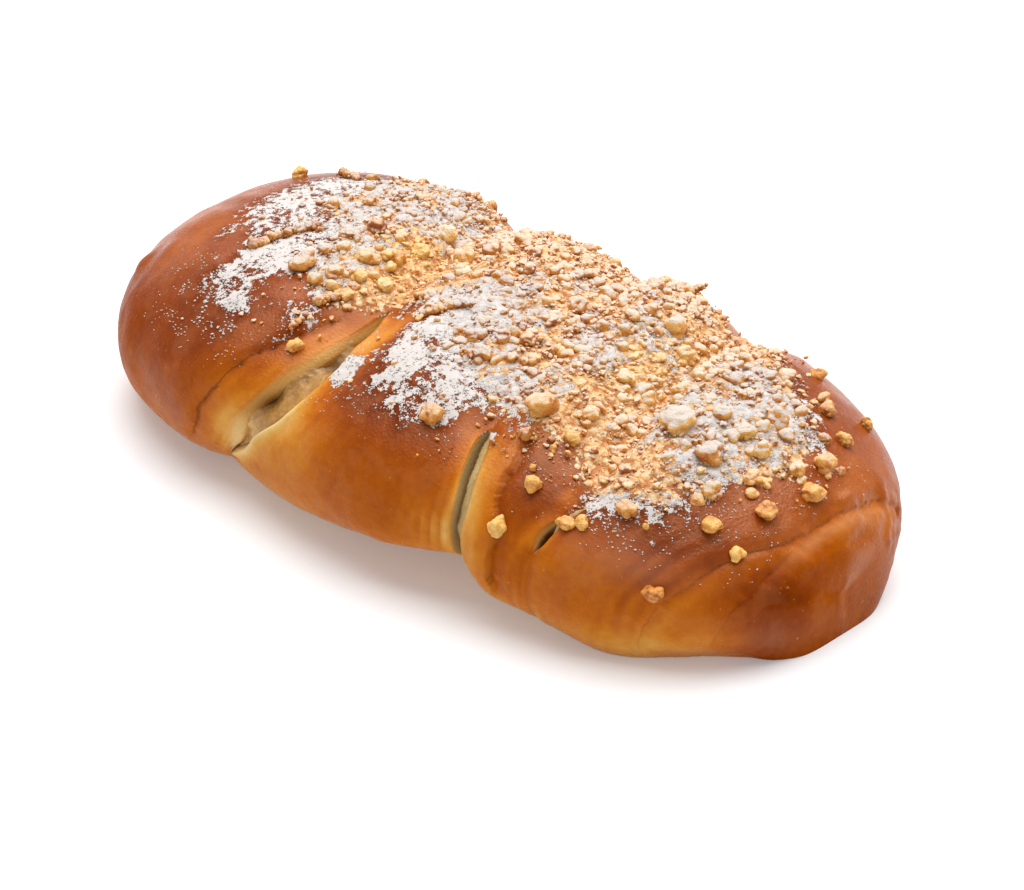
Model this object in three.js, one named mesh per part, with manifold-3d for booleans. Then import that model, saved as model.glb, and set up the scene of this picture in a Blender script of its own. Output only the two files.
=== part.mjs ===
// Quark strudel: a loaf of folded yeast dough, slit open over its quark filling, with butter crumble on top.
// Millimetres, +Z up. The loaf lies along X on its flat base, and its front, where the slits open, faces -Y.
// An angle round the loaf's section is in degrees: 0 is the front, 90 the crown and 180 the back.

import * as THREE from "three";
import { mergeVertices } from "three/addons/utils/BufferGeometryUtils.js";
import Module from "manifold-3d";

const wasm = await Module();
wasm.setup();

// Driving sizes of the loaf
const LENGTH = 260;
const WIDTH = 139;
const HEIGHT = 62;
const WAIST = 26.5; // height of the widest level in the middle of the loaf
const END_SWEEP = 5; // how far both ends curve to the back
const LEFT_END = { plan: 3.1, side: 3.6, tip: 9.5 }; // bluntness from above and the side, height of the tip
const RIGHT_END = { plan: 2.6, side: 2.4, tip: 14 };
const UPPER_BLUNTNESS = 2.2; // of the section above the waist, where 2 is an ellipse
const LOWER_BLUNTNESS = 2.4;

// Dough between the filling and the outside
const CROWN_WALL = 14;
const SIDE_WALL = 12;
const END_WALL = 17;
const BASE_WALL = 8;
const NODE_GAP = 0.3;
const LUMP_HEIGHT = 0.8; // unevenness of the filling, and its spacing along the loaf and in degrees round it
const LUMP_LENGTH = 5.5;
const LUMP_ANGLE = 9;

// The outside runs on below the base, where it is cut flat. crown and keel are the highest and lowest level.
const OUTSIDE = { halfLength: LENGTH / 2, halfWidth: WIDTH / 2, crown: HEIGHT, keel: -8 };
const CORE = {
  halfLength: LENGTH / 2 - END_WALL,
  halfWidth: WIDTH / 2 - SIDE_WALL,
  crown: HEIGHT - CROWN_WALL,
  keel: BASE_WALL,
};

// Folds between the four lobes of the loaf, from left to right. run: [angle, x] where the fold lies;
// slit: [angle, half width] of the opening over the filling; dip: [angle, depth] of the valley beside it;
// reach: how far the valley spreads to the left and right; filling: [across, depth] of the filling below the
// lips, where across is -1 at the left lip and 1 at the right one.
const FOLDS = [
  {
    run: [
      [-50, -55], [-5, -41.5], [18, -30], [45, -23], [57, -21.7],
      [68, -21.3], [90, -28], [112, -38], [180, -46], [230, -48],
    ],
    slit: [[-24, 0.4], [-4, 6], [18, 7.8], [45, 7.2], [57, 4.2], [67, 2.4], [77, 0.4]],
    dip: [[-50, 3.5], [10, 4], [60, 6.5], [110, 8.5], [180, 6], [230, 2]],
    reach: [22, 34],
    filling: [[-1, 1.4], [-0.7, 2], [-0.35, 3.6], [0.05, 5], [0.45, 4.6], [1, 4.2]],
  },
  {
    run: [[-50, 43.5], [-5, 45.5], [18, 46.8], [31, 45], [45, 42], [85, 33], [125, 16], [180, 8], [230, 6]],
    slit: [[-34, 0.4], [-18, 1.6], [0, 2.1], [18, 2.6], [36, 2.8], [46, 2.3], [52, 0.4]],
    dip: [[-50, 9.5], [-10, 6], [20, 4], [60, 4], [110, 4.5], [180, 4], [230, 2]],
    reach: [42, 12],
    filling: [[-1, 1.8], [-0.4, 1.2], [0.4, 1.1], [1, 1.6]],
  },
  {
    run: [[-50, 68], [18, 73], [48, 78], [80, 69], [112, 59], [180, 52], [230, 50]],
    slit: [[6, 0.4], [16, 1.9], [26, 2], [37, 0.4], [62, 0.4]],
    dip: [[-50, 0.5], [20, 4], [60, 8], [110, 9.5], [180, 6], [230, 2]],
    reach: [38, 15],
    filling: [[-1, 2.6], [1, 4.4]],
  },
];
const SLIT_DEPTH = 14;
const SLIT_BLUNTNESS = 4; // of its section, where 2 is an ellipse
const SLIT_SHUT = 0.5; // half widths below which a slit is shut and from which it has its full depth
const SLIT_OPEN = 1.6;

// The filling bulges up into a slit where it is fully open
const BULGE_BREADTH = 0.85; // share of the slit's width
const BULGE_COLUMNS = 6;
const BULGE_ROOT = 10; // depth below the lips where the bulge is rooted in the core

// Creases of the dough. run as in FOLDS; depth and width of the groove; step: drop of the dough on its right.
const CREASES = [
  { run: [[-24, -66], [-15, -62], [10, -53], [30, -45], [55, -33], [68, -27]], depth: 1, width: 1.3, step: 1 },
  { run: [[-26, 58], [13, 59.5], [32, 56], [48, 53.5], [62, 51]], depth: 0.8, width: 2.4, step: 2.2 },
  {
    run: [[-34, 99], [20, 112], [50, 118], [64, 121.5], [90, 122.5], [180, 122]],
    depth: 1.2,
    width: 1.6,
    step: 1.4,
  },
  { run: [[-24, 116], [0, 120], [22, 122.8], [66, 123.5]], depth: 0.9, width: 1.2, step: 0.9 },
];
const CREASE_FADE = 14; // degrees over which a crease runs out
const STEP_REACH = 16; // how far the lower side of a crease stays low
const CREASE_END = [123, 129]; // distances from the loaf's middle between which a crease runs out

// Tucks: where the loaf draws in below its front, or swells out where the depth is negative
const TUCKS = [
  { x: 26, reach: 28, depth: 5.4 },
  { x: 88, reach: 14, depth: -3 },
  { x: 117, reach: 16, depth: 2.4 },
];
const TUCK_FIRST = -8; // angles between which a tuck comes to its full depth
const TUCK_FULL = -42;
const TUCK_FADE = [119, 129]; // distances from the loaf's middle between which a tuck runs out

// Crumble: butter crumbs, first those that stand out, then others, seeded, largest first, clear of the slits
const CRUMB_COUNT = 145;
const CRUMB_TRIES = 6000;
const CRUMB_LARGEST = 3.4;
const CRUMB_SMALLEST = 1.8;
const CRUMB_SPACING = 1.2; // least distance between two crumbs, as a share of the sum of their radii
const CRUMB_RISE = 0.35; // how far a crumb's middle stands above the dough, as a share of its radius
const CRUMB_ROUGHNESS = 0.2;
const CRUMB_BREADTH = 0.9; // share of its length
const CRUMB_HEIGHT = 0.8;
const CRUMB_ZONE = { left: -92, right: 116, front: 40, back: 140, endReach: 40, endInset: 22 };
const CRUMB_SEED = 20417;
// [x, angle, radius] of the crumbs that stand out
const SHOWN_CRUMBS = [
  [-105.5, 110, 2.6], [-65.5, 100, 2.2], [-53, 86, 2.4], [-52.5, 77.5, 2.6], [-52.5, 70, 4.2], [-49, 91, 3],
  [-48.5, 81, 2.4], [-41, 72, 2.4], [-40.5, 107, 3.2], [-39.5, 81.5, 3], [-36, 94, 2.6], [-36, 88, 3],
  [-35, 75.5, 2.6], [-32.5, 69, 2], [-32.5, 46.5, 2.2], [-29.5, 79, 2.4], [-23, 99, 3.2], [-20, 105, 3],
  [-17, 114.5, 3], [11.5, 89, 2.8], [12.5, 73.5, 2.4], [18.5, 84.5, 2.2], [19.5, 78, 2.8], [19.5, 112, 3],
  [20.5, 99.5, 3], [20.5, 69.5, 3.2], [24.5, 82.5, 2.6], [25, 45, 3.8], [45.5, 112.5, 3.6], [50, 64, 4.4],
  [52.5, 139.5, 3], [54, 107.5, 3.4], [59.5, 71, 2.4], [60, 16, 2.7], [62, 60.5, 2.6], [63.5, 39, 2.4],
  [67.5, 100, 2.4], [68, 93, 2.6], [75, 102, 2], [77.5, 29.5, 2.5], [81, 80, 5], [82, 32, 2.2],
  [86, 89.5, 2.6], [90, 43.5, 3], [93.5, 90, 3.2], [94, 76, 3.6], [95.5, 100.5, 3.2], [101, 89, 2.8],
  [102, 65.5, 2.7], [105, 9.5, 2.5], [106, 78.5, 2.6], [108, 52.5, 3], [109.5, 92.5, 2.7], [112, 103.5, 3.2],
  [114, 71, 2.6], [116, 91, 3], [116.5, 45, 2.1],
];
const SLIT_MARGIN = 2; // least distance of a crumb from a slit

// Mesh densities
const OUTSIDE_ROWS = 38;
const LOBE_COLUMNS = [12, 7, 4, 12];
const SLIT_COLUMNS = 6;
const CORE_ROWS = 22;
const CORE_COLUMNS = 30;
const LOWEST_ANGLE = -52; // first row of the outside: below the base all round
const MERGE_DISTANCE = 1e-4;

const DOUGH = new THREE.MeshStandardMaterial({ color: 0xb06a26, roughness: 0.45, metalness: 0 });
const QUARK = new THREE.MeshStandardMaterial({ color: 0xe6d9ae, roughness: 0.6, metalness: 0 });

/** A seeded source of numbers from 0 to 1. */
function seededRandom(seed) {
  let state = seed >>> 0;
  return () => {
    state = (Math.imul(state, 1664525) + 1013904223) >>> 0;
    return state / 4294967296;
  };
}

/** The smooth curve through [angle, value] pairs, held level beyond the first and the last. */
function along(pairs, angle) {
  const last = pairs.length - 1;
  if (angle <= pairs[0][0]) return pairs[0][1];
  if (angle >= pairs[last][0]) return pairs[last][1];
  let i = 0;
  while (angle > pairs[i + 1][0]) i += 1;
  const slope = (k) => {
    const [a0, v0] = pairs[Math.max(k - 1, 0)];
    const [a1, v1] = pairs[Math.min(k + 1, last)];
    return k === 0 || k === last ? 0 : (v1 - v0) / (a1 - a0);
  };
  const [a0, v0] = pairs[i];
  const [a1, v1] = pairs[i + 1];
  const t = (angle - a0) / (a1 - a0);
  const bend = t * (1 - t) * (a1 - a0) * ((1 - t) * slope(i) - t * slope(i + 1));
  return THREE.MathUtils.lerp(v0, v1, t * t * (3 - 2 * t)) + bend;
}

/** A point of the smooth loaf that form describes. */
function loafPoint(form, x, angle) {
  const s = THREE.MathUtils.clamp(x / form.halfLength, -1, 1);
  const end = s < 0 ? LEFT_END : RIGHT_END;
  const planShare = (1 - Math.abs(s) ** end.plan) ** (1 / end.plan);
  const sideShare = (1 - Math.abs(s) ** end.side) ** (1 / end.side);
  const waist = THREE.MathUtils.lerp(end.tip, WAIST, sideShare);
  const sine = Math.sin(THREE.MathUtils.degToRad(angle));
  const cosine = Math.cos(THREE.MathUtils.degToRad(angle));
  const power = 2 / (sine > 0 ? UPPER_BLUNTNESS : LOWER_BLUNTNESS);
  const y = END_SWEEP * s * s - form.halfWidth * planShare * Math.sign(cosine) * Math.abs(cosine) ** power;
  const farthest = sine > 0 ? THREE.MathUtils.lerp(end.tip, form.crown, sideShare) : form.keel;
  const z = THREE.MathUtils.lerp(waist, farthest, Math.abs(sine) ** power);
  return new THREE.Vector3(x, y, z);
}

/** The way out of the smooth loaf at a point. */
function loafNormal(form, x, angle) {
  const step = 0.5;
  const limit = form.halfLength - step;
  if (Math.abs(x) >= form.halfLength) return new THREE.Vector3(Math.sign(x), 0, 0);
  const middle = THREE.MathUtils.clamp(x, -limit + 0.01, limit - 0.01);
  const lengthways = loafPoint(form, middle + step, angle).sub(loafPoint(form, middle - step, angle));
  const round = loafPoint(form, middle, angle + step).sub(loafPoint(form, middle, angle - step));
  return lengthways.cross(round).normalize();
}

/** Depth of the valleys beside the folds. */
function valleyDepth(x, angle) {
  let depth = 0;
  for (const fold of FOLDS) {
    const offset = x - along(fold.run, angle);
    const beyond = Math.max(Math.abs(offset) - along(fold.slit, angle), 0);
    const reach = fold.reach[offset < 0 ? 0 : 1];
    depth += along(fold.dip, angle) * Math.max(1 - beyond / reach, 0) ** 2;
  }
  return depth;
}

/** How far the loaf draws in below its front. */
function tuckDepth(x, angle) {
  let depth = 0;
  for (const tuck of TUCKS) depth += tuck.depth * Math.exp(-(((x - tuck.x) / tuck.reach) ** 2));
  const strength = THREE.MathUtils.smoothstep(-angle, -TUCK_FIRST, -TUCK_FULL);
  return depth * strength * (1 - THREE.MathUtils.smoothstep(Math.abs(x), ...TUCK_FADE));
}

/** Depth of the creases and of the lower dough to their right. */
function creaseDepth(x, angle) {
  let depth = 0;
  for (const crease of CREASES) {
    const first = crease.run[0][0];
    const last = crease.run[crease.run.length - 1][0];
    const inside = Math.min(angle - first, last - angle) / CREASE_FADE;
    const end = 1 - THREE.MathUtils.smoothstep(Math.abs(x), ...CREASE_END);
    const strength = THREE.MathUtils.smoothstep(inside, 0, 1) * end;
    const offset = x - along(crease.run, angle);
    const groove = crease.depth * Math.exp(-((offset / crease.width) ** 2));
    const low = offset > 0 ? crease.step * Math.max(1 - offset / STEP_REACH, 0) ** 2 : 0;
    depth += strength * (groove + low);
  }
  return depth;
}

/** A point of the dough's outside, sunk by the depth of a slit there. */
function doughPoint(x, angle, sink) {
  const depth = valleyDepth(x, angle) + creaseDepth(x, angle) + tuckDepth(x, angle) + sink;
  return loafPoint(OUTSIDE, x, angle).addScaledVector(loafNormal(OUTSIDE, x, angle), -depth);
}

/** How far a slit is open at an angle, from 0 where it is shut to 1 where it has its full depth. */
function slitOpenness(fold, angle) {
  return THREE.MathUtils.smoothstep(along(fold.slit, angle), SLIT_SHUT, SLIT_OPEN);
}

/** The columns of the outside from end to end, which follow the lips of the slits. Each gives x and sink. */
function outsideColumns() {
  const columns = [];
  const lip = (fold, side) => (angle) => along(fold.run, angle) + side * along(fold.slit, angle);
  LOBE_COLUMNS.forEach((count, lobe) => {
    const isFirst = lobe === 0;
    const isLast = lobe === FOLDS.length;
    const left = isFirst ? () => -LENGTH / 2 : lip(FOLDS[lobe - 1], 1);
    const right = isLast ? () => LENGTH / 2 : lip(FOLDS[lobe], -1);
    for (let k = isFirst ? 1 : 0; k <= (isLast ? count - 1 : count); k += 1) {
      let share = k / count;
      if (isFirst) share = 1 - Math.cos((share * Math.PI) / 2);
      if (isLast) share = Math.sin((share * Math.PI) / 2);
      columns.push((angle) => ({ x: THREE.MathUtils.lerp(left(angle), right(angle), share), sink: 0 }));
    }
    if (isLast) return;
    const fold = FOLDS[lobe];
    for (let k = 1; k < SLIT_COLUMNS; k += 1) {
      const turn = (Math.PI * k) / SLIT_COLUMNS;
      const across = -Math.sign(Math.cos(turn)) * Math.abs(Math.cos(turn)) ** (2 / SLIT_BLUNTNESS);
      const down = Math.sin(turn) ** (2 / SLIT_BLUNTNESS);
      columns.push((angle) => ({
        x: along(fold.run, angle) + across * along(fold.slit, angle),
        sink: down * SLIT_DEPTH * slitOpenness(fold, angle),
      }));
    }
  });
  return columns;
}

/** The closed solid of rings of points, one ring a column, with an end point at each end. */
function ringSolid(rings, firstEnd, lastEnd) {
  const rows = rings[0].length;
  const points = [...rings.flat(), firstEnd, lastEnd];
  const first = rings.length * rows;
  const index = [];
  for (let row = 0; row < rows; row += 1) {
    const next = (row + 1) % rows;
    index.push(first, row, next);
    for (let ring = 0; ring + 1 < rings.length; ring += 1) {
      const here = ring * rows;
      const there = here + rows;
      index.push(here + row, there + row, there + next, here + row, there + next, here + next);
    }
    const lastRing = (rings.length - 1) * rows;
    index.push(first + 1, lastRing + next, lastRing + row);
  }
  const geometry = new THREE.BufferGeometry().setFromPoints(points);
  geometry.setIndex(index);
  return toSolid(geometry);
}

/** A geometry as a solid to join and cut. */
function toSolid(geometry) {
  geometry.deleteAttribute("normal");
  geometry.deleteAttribute("uv");
  const merged = mergeVertices(geometry, MERGE_DISTANCE);
  const vertProperties = new Float32Array(merged.attributes.position.array);
  const triVerts = new Uint32Array(merged.index.array);
  return new wasm.Manifold(new wasm.Mesh({ numProp: 3, vertProperties, triVerts }));
}

/** A solid as a named mesh. */
function toMesh(solid, name, material) {
  const { vertProperties, triVerts, numProp } = solid.getMesh();
  const positions = new Float32Array((vertProperties.length / numProp) * 3);
  for (let i = 0; i < positions.length / 3; i += 1) {
    positions.set(vertProperties.subarray(i * numProp, i * numProp + 3), i * 3);
  }
  const geometry = new THREE.BufferGeometry();
  geometry.setAttribute("position", new THREE.BufferAttribute(positions, 3));
  geometry.setIndex(new THREE.BufferAttribute(new Uint32Array(triVerts), 1));
  geometry.computeVertexNormals();
  const mesh = new THREE.Mesh(geometry, material);
  mesh.name = name;
  return mesh;
}

/** The angles of the outside's rows, without the one at the keel. */
function outsideAngles() {
  const step = (180 - 2 * LOWEST_ANGLE) / (OUTSIDE_ROWS - 1);
  return Array.from({ length: OUTSIDE_ROWS }, (_, row) => LOWEST_ANGLE + step * row);
}

/** The dough's outside, with its folds, creases and slits, cut flat at the base. */
function outsideSolid() {
  const angles = [-90, ...outsideAngles()];
  const rings = outsideColumns().map((column) =>
    angles.map((angle) => {
      const { x, sink } = column(angle);
      return doughPoint(x, angle, sink);
    }),
  );
  const whole = ringSolid(rings, doughPoint(-LENGTH / 2, 0, 0), doughPoint(LENGTH / 2, 0, 0));
  const above = new THREE.BoxGeometry(2 * LENGTH, 2 * WIDTH, 2 * HEIGHT).translate(0, 0, HEIGHT);
  return whole.intersect(toSolid(above));
}

/** The part of the filling that bulges up into a fold's slit, grown by an allowance. */
function bulgeSolid(fold, allowance) {
  const rings = outsideAngles()
    .filter((angle) => slitOpenness(fold, angle) === 1)
    .map((angle) => {
      const half = along(fold.slit, angle) * BULGE_BREADTH + allowance;
      const place = (across, depth) => doughPoint(along(fold.run, angle) + across * half, angle, depth);
      const top = [];
      for (let k = 0; k <= BULGE_COLUMNS; k += 1) {
        const across = (2 * k) / BULGE_COLUMNS - 1;
        top.push(place(across, along(fold.filling, across) - allowance));
      }
      return [place(-1, BULGE_ROOT), place(1, BULGE_ROOT), ...top.reverse()];
    });
  const middle = (ring) => {
    const sum = ring.reduce((total, point) => total.add(point), new THREE.Vector3());
    return sum.divideScalar(ring.length);
  };
  return ringSolid(rings, middle(rings[0]), middle(rings[rings.length - 1]));
}

/** The filling: its lumpy core and its bulges in the slits, grown by an allowance. */
function fillingSolid(allowance) {
  return FOLDS.reduce((whole, fold) => whole.add(bulgeSolid(fold, allowance)), coreSolid(allowance));
}

/** The filling's core, lumpy, grown by an allowance. */
function coreSolid(allowance) {
  const point = (x, angle) => {
    const lump = LUMP_HEIGHT * Math.sin(x / LUMP_LENGTH) * Math.cos(angle / LUMP_ANGLE);
    return loafPoint(CORE, x, angle).addScaledVector(loafNormal(CORE, x, angle), lump + allowance);
  };
  const rings = [];
  for (let column = 1; column < CORE_COLUMNS; column += 1) {
    const x = -CORE.halfLength * Math.cos((Math.PI * column) / CORE_COLUMNS);
    rings.push(Array.from({ length: CORE_ROWS }, (_, row) => point(x, (360 * row) / CORE_ROWS)));
  }
  return ringSolid(rings, point(-CORE.halfLength, 0), point(CORE.halfLength, 0));
}

/** Whether a crumb fits at a place: in the zone, which narrows at its ends, and clear of every slit. */
function crumbFits(x, angle, radius) {
  const fromEnd = Math.min(x - CRUMB_ZONE.left, CRUMB_ZONE.right - x) / CRUMB_ZONE.endReach;
  const inset = CRUMB_ZONE.endInset * (1 - THREE.MathUtils.clamp(fromEnd, 0, 1));
  if (angle < CRUMB_ZONE.front + inset || angle > CRUMB_ZONE.back - inset) return false;
  return FOLDS.every((fold) => {
    const clear = along(fold.slit, angle) + radius * (1 + CRUMB_ROUGHNESS) + SLIT_MARGIN;
    return slitOpenness(fold, angle) === 0 || Math.abs(x - along(fold.run, angle)) > clear;
  });
}

/** One butter crumb: a rough lump sunk into the dough. */
function crumbSolid({ x, angle, radius }, random) {
  const geometry = new THREE.IcosahedronGeometry(1, 0);
  geometry.deleteAttribute("normal");
  geometry.deleteAttribute("uv");
  const lump = mergeVertices(geometry, MERGE_DISTANCE);
  const position = lump.attributes.position;
  for (let i = 0; i < position.count; i += 1) {
    const size = 1 + CRUMB_ROUGHNESS * (2 * random() - 1);
    position.setXYZ(i, position.getX(i) * size, position.getY(i) * size, position.getZ(i) * size);
  }
  lump.scale(radius, radius * CRUMB_BREADTH, radius * CRUMB_HEIGHT);
  lump.rotateZ(2 * Math.PI * random());
  const middle = doughPoint(x, angle, -CRUMB_RISE * radius);
  lump.translate(middle.x, middle.y, middle.z);
  return toSolid(lump);
}

/** All crumbs: those that stand out, then the rest spread over the top by a seeded rule. */
function crumbs() {
  const random = seededRandom(CRUMB_SEED);
  const place = (x, angle, radius) => ({ x, angle, radius, middle: doughPoint(x, angle, 0) });
  const placed = SHOWN_CRUMBS.map(([x, angle, radius]) => place(x, angle, radius));
  for (let attempt = 0; attempt < CRUMB_TRIES && placed.length < CRUMB_COUNT; attempt += 1) {
    const x = THREE.MathUtils.lerp(CRUMB_ZONE.left, CRUMB_ZONE.right, random());
    const angle = THREE.MathUtils.lerp(CRUMB_ZONE.front, CRUMB_ZONE.back, random());
    const done = placed.length / CRUMB_COUNT;
    const radius = THREE.MathUtils.lerp(CRUMB_LARGEST, CRUMB_SMALLEST, Math.sqrt(done));
    if (!crumbFits(x, angle, radius)) continue;
    const crumb = place(x, angle, radius);
    const isFree = placed.every((other) => {
      return other.middle.distanceTo(crumb.middle) > CRUMB_SPACING * (other.radius + radius);
    });
    if (isFree) placed.push(crumb);
  }
  return placed.map((crumb) => crumbSolid(crumb, random));
}

/** The largest body of a solid. */
function largestBody(solid) {
  return solid.decompose().reduce((a, b) => (b.volume() > a.volume() ? b : a));
}

/** The dough round the filling, with the crumbs fused to it. */
function doughSolid() {
  const topped = crumbs().reduce((whole, crumb) => whole.add(crumb), outsideSolid());
  return largestBody(topped.subtract(fillingSolid(NODE_GAP)));
}

const strudel = new THREE.Group();
strudel.name = "quark_strudel";
strudel.add(toMesh(doughSolid(), "dough", DOUGH));
strudel.add(toMesh(fillingSolid(0), "quark_filling", QUARK));

export default strudel;
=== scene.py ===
"""Quark strudel: a loaf of folded yeast dough, slit open over its quark filling.

Butter crumble and powdered sugar lie on top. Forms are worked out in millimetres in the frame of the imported
model and turned to metres where a mesh is made. The loaf lies along X and its slits open to the front, -Y.
An angle round the loaf's section is in degrees: 0 is the front, 90 the crown and 180 the back.
"""

import logging
import math
from dataclasses import dataclass, field
from enum import Enum
from functools import reduce
from itertools import pairwise, product

import bpy
import numpy as np
from mathutils import Matrix, Vector


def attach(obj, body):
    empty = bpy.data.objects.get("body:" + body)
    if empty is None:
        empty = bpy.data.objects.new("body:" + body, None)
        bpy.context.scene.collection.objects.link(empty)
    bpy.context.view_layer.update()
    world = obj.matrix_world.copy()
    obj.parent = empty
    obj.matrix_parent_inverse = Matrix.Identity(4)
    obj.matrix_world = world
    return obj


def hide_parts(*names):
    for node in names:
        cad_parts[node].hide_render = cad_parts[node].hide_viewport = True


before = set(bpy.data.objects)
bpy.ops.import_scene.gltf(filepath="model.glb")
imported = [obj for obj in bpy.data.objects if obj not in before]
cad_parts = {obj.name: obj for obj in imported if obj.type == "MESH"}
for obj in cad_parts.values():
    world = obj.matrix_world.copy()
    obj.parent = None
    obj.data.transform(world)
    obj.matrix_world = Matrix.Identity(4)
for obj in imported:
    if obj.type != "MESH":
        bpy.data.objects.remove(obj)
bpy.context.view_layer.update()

LOG = logging.getLogger("quark_strudel")
METRES = 0.001  # metres in a millimetre
CROWN = 90  # angle of the loaf's crown
BACK = 180  # angle of its back
WHITE = (1.0, 1.0, 1.0, 1.0)
SEAM_SETS = ("seam_even", "seam_odd")  # names of the distances from the creases

Array = np.ndarray
Draw = np.random.Generator
Socket = bpy.types.NodeSocket
Span = tuple[float, float]
Pairs = tuple[Span, ...]
Place = tuple[float, float, float]
Colour = tuple[float, float, float]
Stops = tuple[tuple[float, Colour], ...]
Values = dict[str, Array]


class Node(Enum):
    """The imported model's nodes, whose names are its material slots too."""

    DOUGH = "dough"
    QUARK = "quark_filling"


def along(pairs: Pairs, place: Array) -> Array:
    """Follows the smooth curve through pairs, held level beyond the first and the last.

    Args:
        pairs: Places in rising order, each with its value.
        place: Where to read the curve.

    Returns:
        The curve's values, in the shape of place.
    """
    stops, values = np.array(pairs, float).T
    slopes = np.zeros_like(values)
    slopes[1:-1] = (values[2:] - values[:-2]) / (stops[2:] - stops[:-2])
    held = np.clip(place, stops[0], stops[-1])
    i = np.clip(np.searchsorted(stops, held) - 1, 0, len(stops) - 2)
    span = stops[i + 1] - stops[i]
    t = (held - stops[i]) / span
    bend = t * (1 - t) * span * ((1 - t) * slopes[i] - t * slopes[i + 1])
    return values[i] + (values[i + 1] - values[i]) * t * t * (3 - 2 * t) + bend


def smooth_rise(value: Array, low: float, high: float) -> Array:
    """Rises smoothly from 0 at low to 1 at high."""
    t = np.clip((value - low) / (high - low), 0, 1)
    return t * t * (3 - 2 * t)


def smooth_fall(value: Array, low: float, high: float) -> Array:
    """Falls smoothly from 1 at low to 0 at high."""
    return 1 - smooth_rise(value, low, high)


@dataclass(frozen=True)
class Rise:
    """A smooth rise from nothing at low to its height at high."""

    low: float
    high: float
    height: float

    def at(self, value: Array) -> Array:
        """Gives the height that it has at values."""
        return self.height * smooth_rise(value, self.low, self.high)


def climb(angle: Array) -> Array:
    """Gives the angle above the front or the back, whichever is nearer."""
    return CROWN - np.abs(angle - CROWN)


def linear(colour: Colour) -> tuple[float, float, float, float]:
    """Turns a colour of 0 to 255 as seen on a screen into the linear one that a shader takes.

    Args:
        colour: Red, green and blue.

    Returns:
        The linear colour, with full cover.
    """
    parts = [c / 255 for c in colour]
    red, green, blue = (c / 12.92 if c <= 0.04045 else ((c + 0.055) / 1.055) ** 2.4 for c in parts)
    return (red, green, blue, 1.0)


class LatticeNoise:
    """Smooth seeded noise in space, from -1 to 1."""

    CELLS = 32
    LAYER_SHIFT = 17.3

    def __init__(self, seed: int) -> None:
        """Draws the lattice's values."""
        self.values = np.random.default_rng(seed).uniform(-1, 1, (self.CELLS,) * 3)

    def at(self, points: Array, size: float) -> Array:
        """Reads the noise.

        Args:
            points: Places, with x, y and z last.
            size: Spacing of the lumps.

        Returns:
            The noise at each place.
        """
        scaled = points / size
        cell = np.floor(scaled).astype(int)
        t = scaled - cell
        t = t * t * (3 - 2 * t)
        total = np.zeros(points.shape[:-1])
        for corner in product((0, 1), repeat=3):
            index = (cell + corner) % self.CELLS
            share = np.prod(np.where(corner, t, 1 - t), axis=-1)
            total += share * self.values[index[..., 0], index[..., 1], index[..., 2]]
        return total

    def mixed(self, points: Array, lumps: Pairs) -> Array:
        """Adds up lumps of several kinds, each given by its spacing and its height."""
        return sum(height * self.at(points, size) for size, height in lumps)

    def layered(self, points: Array, size: float, layers: int = 3) -> Array:
        """Adds up layers, each with half the spacing and half the height of the last."""
        return sum(self.at(points + self.LAYER_SHIFT * k, size / 2**k) / 2**k for k in range(layers))


@dataclass(frozen=True)
class Patch:
    """A soft oval on the loaf's skin: its middle, half its spread each way, and its strength."""

    FALL = 0.7

    x: float
    angle: float
    half_x: float
    half_angle: float
    strength: float

    def weight(self, x: Array, angle: Array) -> Array:
        """Gives the patch's strength at places along the loaf and round it."""
        away = ((x - self.x) / self.half_x) ** 2 + ((angle - self.angle) / self.half_angle) ** 2
        return self.strength * np.exp(-self.FALL * away)


Patches = tuple[Patch, ...]


def ovals(*rows: tuple[float, ...]) -> Patches:
    """Makes patches, each from a row of its five values."""
    return tuple(Patch(*row) for row in rows)


def patch_sum(patches: Patches, x: Array, angle: Array) -> Array:
    """Adds up patches at places along the loaf and round it."""
    return sum(patch.weight(x, angle) for patch in patches)


@dataclass(frozen=True)
class LoafEnd:
    """How an end of the loaf closes: bluntness from above and from the side, and the height of its tip."""

    plan: float
    side: float
    tip: float


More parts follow.
